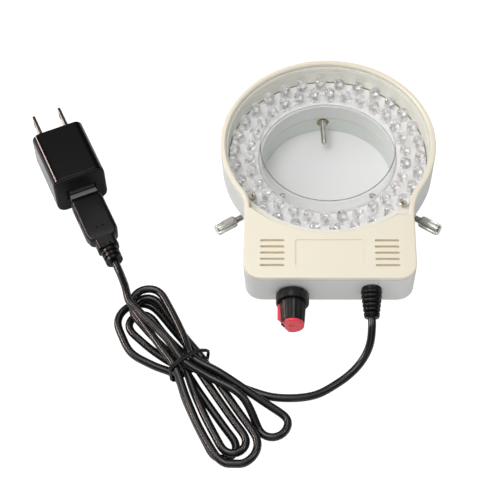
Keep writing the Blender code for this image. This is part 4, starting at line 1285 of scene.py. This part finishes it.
def makeThumbscrews():
    look = thumbLook
    root, crest, pitch = look["threadRoot"], look["threadRadius"], look["pitch"]
    wide, hollow = look["headRadius"], crest + look["socketClearance"]
    for name, turn in look["turns"].items():
        stand = toRing @ moved(0, 0, look["height"]) @ turned(turn, "Z") @ turned(90, "Y")
        tip = look["tips"][name]
        low = tip + look["grip"]
        top, bottom = low + look["headLength"], low + look["socket"]
        profile = [(radius, tip) for radius in look["tipRadii"]]
        profile.append((crest, tip + look["tipLength"]))
        high = tip + look["threadFrom"]
        while high < bottom - look["tipLength"]:
            profile.append((root, high))
            profile += [(crest, high + pitch * share) for share in look["crestShares"]]
            high += pitch
        profile += [(root, high), (root * look["coreShare"], high)]
        shank = smoothed(turnUp(name + "Shank", profile, look["sides"], stand), 25)
        dress(shank, "steel", name + "_screw", "screw_steel", name + "_screw_shank")
        profile = [(wide - less, low + up) for less, up in look["headEase"]]
        profile += [(wide - less, top - down) for less, down in look["headEndEase"]]
        head = fluteUp(name + "Head", profile, look["teeth"], look["toothDepth"], stand)
        ends = [(hollow, low - look["socketEntry"]), (hollow, bottom)]
        combine(head, turnUp("socket", ends, look["sides"], stand))
        smoothed(head, 28)
        dress(head, "nickel", name + "_grip", "nickel", name + "_screw_head")


# The dimmer's knob: a fluted grip and a red end with its pointer
knobLook = {
    "x": -0.0161,
    "z": 0.017,
    "end": 0.0165,
    "gripEdges": (0.00015, 2, 30, 35),
    "markerEdges": (0.00012, 2, 30, 35),
    # the facet that slopes away from the pointer
    "facetStart": 0.0014,
    "facetRun": 0.0038,
    "facetDrop": 0.0028,
    # the raised bar that runs from the pointer over the facet to past the middle
    "barHalf": 0.0008,
    "barProud": 0.00018,
    "barDepth": 0.0004,
    "barPast": 0.0016,
    "barFall": 0.0050,
    "barOverlap": 0.0001,
    "barCorner": 0.00015,
}


def makeKnob():
    look = knobLook
    refine("knob", "knobGrip", look["gripEdges"], "blackPlastic", "dimmer", "black_plastic")
    marker = takeFrom("knob_insert", "knobMarker")
    start = (look["x"] - look["facetStart"], wallY - look["end"], look["z"])
    slope = Vector((-look["facetDrop"], -look["facetRun"], 0)).normalized()
    cutAway(marker, start, slope)
    soften(marker, *look["markerEdges"])
    half, proud, deep = look["barHalf"], look["barProud"], look["barDepth"]
    past = look["facetStart"] + look["barPast"]
    lean = Matrix.Rotation(-math.atan2(look["facetDrop"], look["facetRun"]), 4, "Z")
    bars = [
        roundedBlock(name, (left, -proud, -half), (right, deep, half), look["barCorner"], 2, spot)
        for name, left, right, spot in (
            ("barOnFace", -deep, past, moved(*start)),
            ("barOnFacet", -look["barFall"], look["barOverlap"], moved(*start) @ lean),
        )
    ]
    bar = smoothed(joined("knobBar", bars), 35)
    dress(marker, "redPlastic", "dimmer", "red_plastic", "knob_insert")
    dress(bar, "redPlastic", "dimmer", "red_plastic")


# The relief: soft round ribs between its grooves, then a plain end
def makeRelief():
    look = reliefLook
    root, end, length = look["rootRadius"], look["endRadius"], look["length"]
    grooves, steps = look["grooves"], look["ribSteps"]

    def radiusAt(height):
        return root + (end - root) * max(height, 0) / length

    profile = list(zip((root * look["rootShare"], root), look["rootHeights"]))
    for first, second in zip((grooves[0] - look["rib"], *grooves), grooves):
        for i in range(1, steps + 1):
            share = i / steps
            height = first + (second - first) * share
            if height > look["ribsFrom"]:
                hollow = look["grooveDepth"] * (1 - math.sin(math.pi * share) ** look["ribEase"])
                profile.append((radiusAt(height) - hollow, height))
    last = grooves[-1] + look["plainFrom"]
    less, short = look["endEase"]
    profile += [(radiusAt(last), last), (end, length - short), (end - less, length)]
    profile.append((look["mouth"], length))
    tail = turnUp("reliefTail", profile, look["sides"], reliefTail)
    (wide, thick), inner, neck = look["flange"], look["innerFace"], look["neckRadius"]
    profile = [(wide, inner - thick), (wide, inner), (neck, inner), (neck, look["neckEnd"])]
    neck = turnUp("reliefNeck", profile, look["neckSides"], reliefRoot)
    relief = smoothed(joined("strainRelief", [tail, neck]), 50)
    return dress(relief, "mouldedBlack", "head", "cord_black", "strain_relief")


def makePlug():
    look = plugLook
    wide, tall = look["halfWidth"], look["halfHeight"]
    body = takeFrom("usb_overmould", "usbGrip")
    half = tall * look["ribHeightShare"]
    for i in range(look["ribs"]):
        x = look["ribStart"] + i * look["ribPitch"]
        for side in (-1, 1):
            near, far = sorted((side * (wide - look["ribDepth"]), side * (wide + overrun)))
            ends = (x, near, -half), (x + look["ribWidth"], far, half)
            rib = roundedBlock("gripRib", *ends, look["ribCorner"], 1, chargerStand, axis=1)
            combine(body, rib)
    radius, over = look["dotRadius"], tall + overrun
    for side in (-1, 1):
        spot = chargerStand @ moved(look["dotsAt"], side * look["dotSpread"], 0)
        ends = [(radius, tall - look["dotDepth"]), (radius, over)]
        combine(body, turnUp("dot", ends, look["dotSides"], spot))
    start, end = look["line"]
    ends = (*start, tall - look["lineDepth"]), (*end, over)
    combine(body, roundedBlock("topLine", *ends, look["lineCorner"], 1, chargerStand))
    soften(body, look["gripEdge"])
    dress(body, "mouldedBlack", "head", "cord_black", "usb_overmould")
    shell = refine("usb_shell", "usbShell", look["shellEdges"], "darkSteel", "head", "nickel")
    # a black ring, painted shade in the gap, and a grey lip round the shell, where it leaves the
    # grip
    rings = []
    for name, (start, end, wider, higher, corner), material, slot in (
        ("shellGap", look["gap"], "mattBlack", "cord_black"),
        ("shellLip", look["lip"], "lipGrey", "nickel"),
    ):
        y, z = look["shellHalfWidth"] + wider, look["shellHalfHeight"] + higher
        ring = roundedBlock(name, (start, -y, -z), (end, y, z), corner, 2, chargerStand)
        rings.append(dress(ring, material, "head", slot))
    return [body, shell, *rings]


def makeCase():
    look = chargerLook
    length, wide, tall, wall = look["length"], look["halfWidth"], look["halfHeight"], look["wall"]
    ends = (-length, -wide, -tall), (-look["cap"], wide, tall)
    case = roundedBlock("chargerCase", *ends, look["corner"], look["cornerRounds"])
    ends = (wall - length, wall - wide, wall - tall), (overrun, wide - wall, tall - wall)
    inside = roundedBlock("caseInside", *ends, look["corner"] - wall, look["insideRounds"])
    combine(case, inside)
    place(soften(case, *look["caseEdges"]), chargerStand)
    dress(case, "glossBlack", "charger", "case_black", "charger_case")
    refine("charger_end_cap", "chargerCap", look["capEdges"], "mattBlack", "charger", "case_black")


def makeBlade(name, side):
    look = chargerLook
    tip = -look["length"] - look["bladeLength"]
    half, tall = look["bladeThickness"] / 2, look["bladeHeight"] / 2
    y = side * look["bladeSpacing"] / 2
    ends = (tip, y - half, -tall), (look["bladeRoot"] - look["length"], y + half, tall)
    blade = roundedBlock("blade" + name.title(), *ends, look["bladeCorner"], 1)
    # the tip is rounded off both ways
    openMesh(blade)
    for inset in look["tipCuts"]:
        bpy.ops.mesh.select_all(action="SELECT")
        bpy.ops.mesh.bisect(plane_co=(tip + inset, 0, 0), plane_no=(1, 0, 0))
    closeMesh()
    for reach, thin, short in look["tipShares"]:
        pick(blade, "VERT", lambda vert: vert.co.x < tip + reach)
        bpy.ops.transform.resize(value=(1, thin, short), center_override=(tip, y, 0))
        closeMesh()
    spot = moved(tip + look["holeInset"], y, 0) @ turned(90, "X")
    ends = [(look["holeRadius"], side * look["holeReach"]) for side in (-1, 1)]
    combine(blade, turnUp("bladeHole", ends, look["holeSides"], spot))
    place(smoothed(blade, 30), chargerStand)
    dress(blade, "bladeMetal", "charger", "nickel", "blade_" + name)


cord, exitPoint, cordLength = makeCord()
tie = makeTie()
say("cord and tie are laid")
makeHead()
say("head is finished")
makeLeds()
say("lamps are set")
makeThumbscrews()
makeKnob()
relief = makeRelief()
say("screws, knob and relief are finished")
plug = makePlug()
makeCase()
makeBlade("left", 1)
makeBlade("right", -1)
say("plug and charger are finished")
deselect()

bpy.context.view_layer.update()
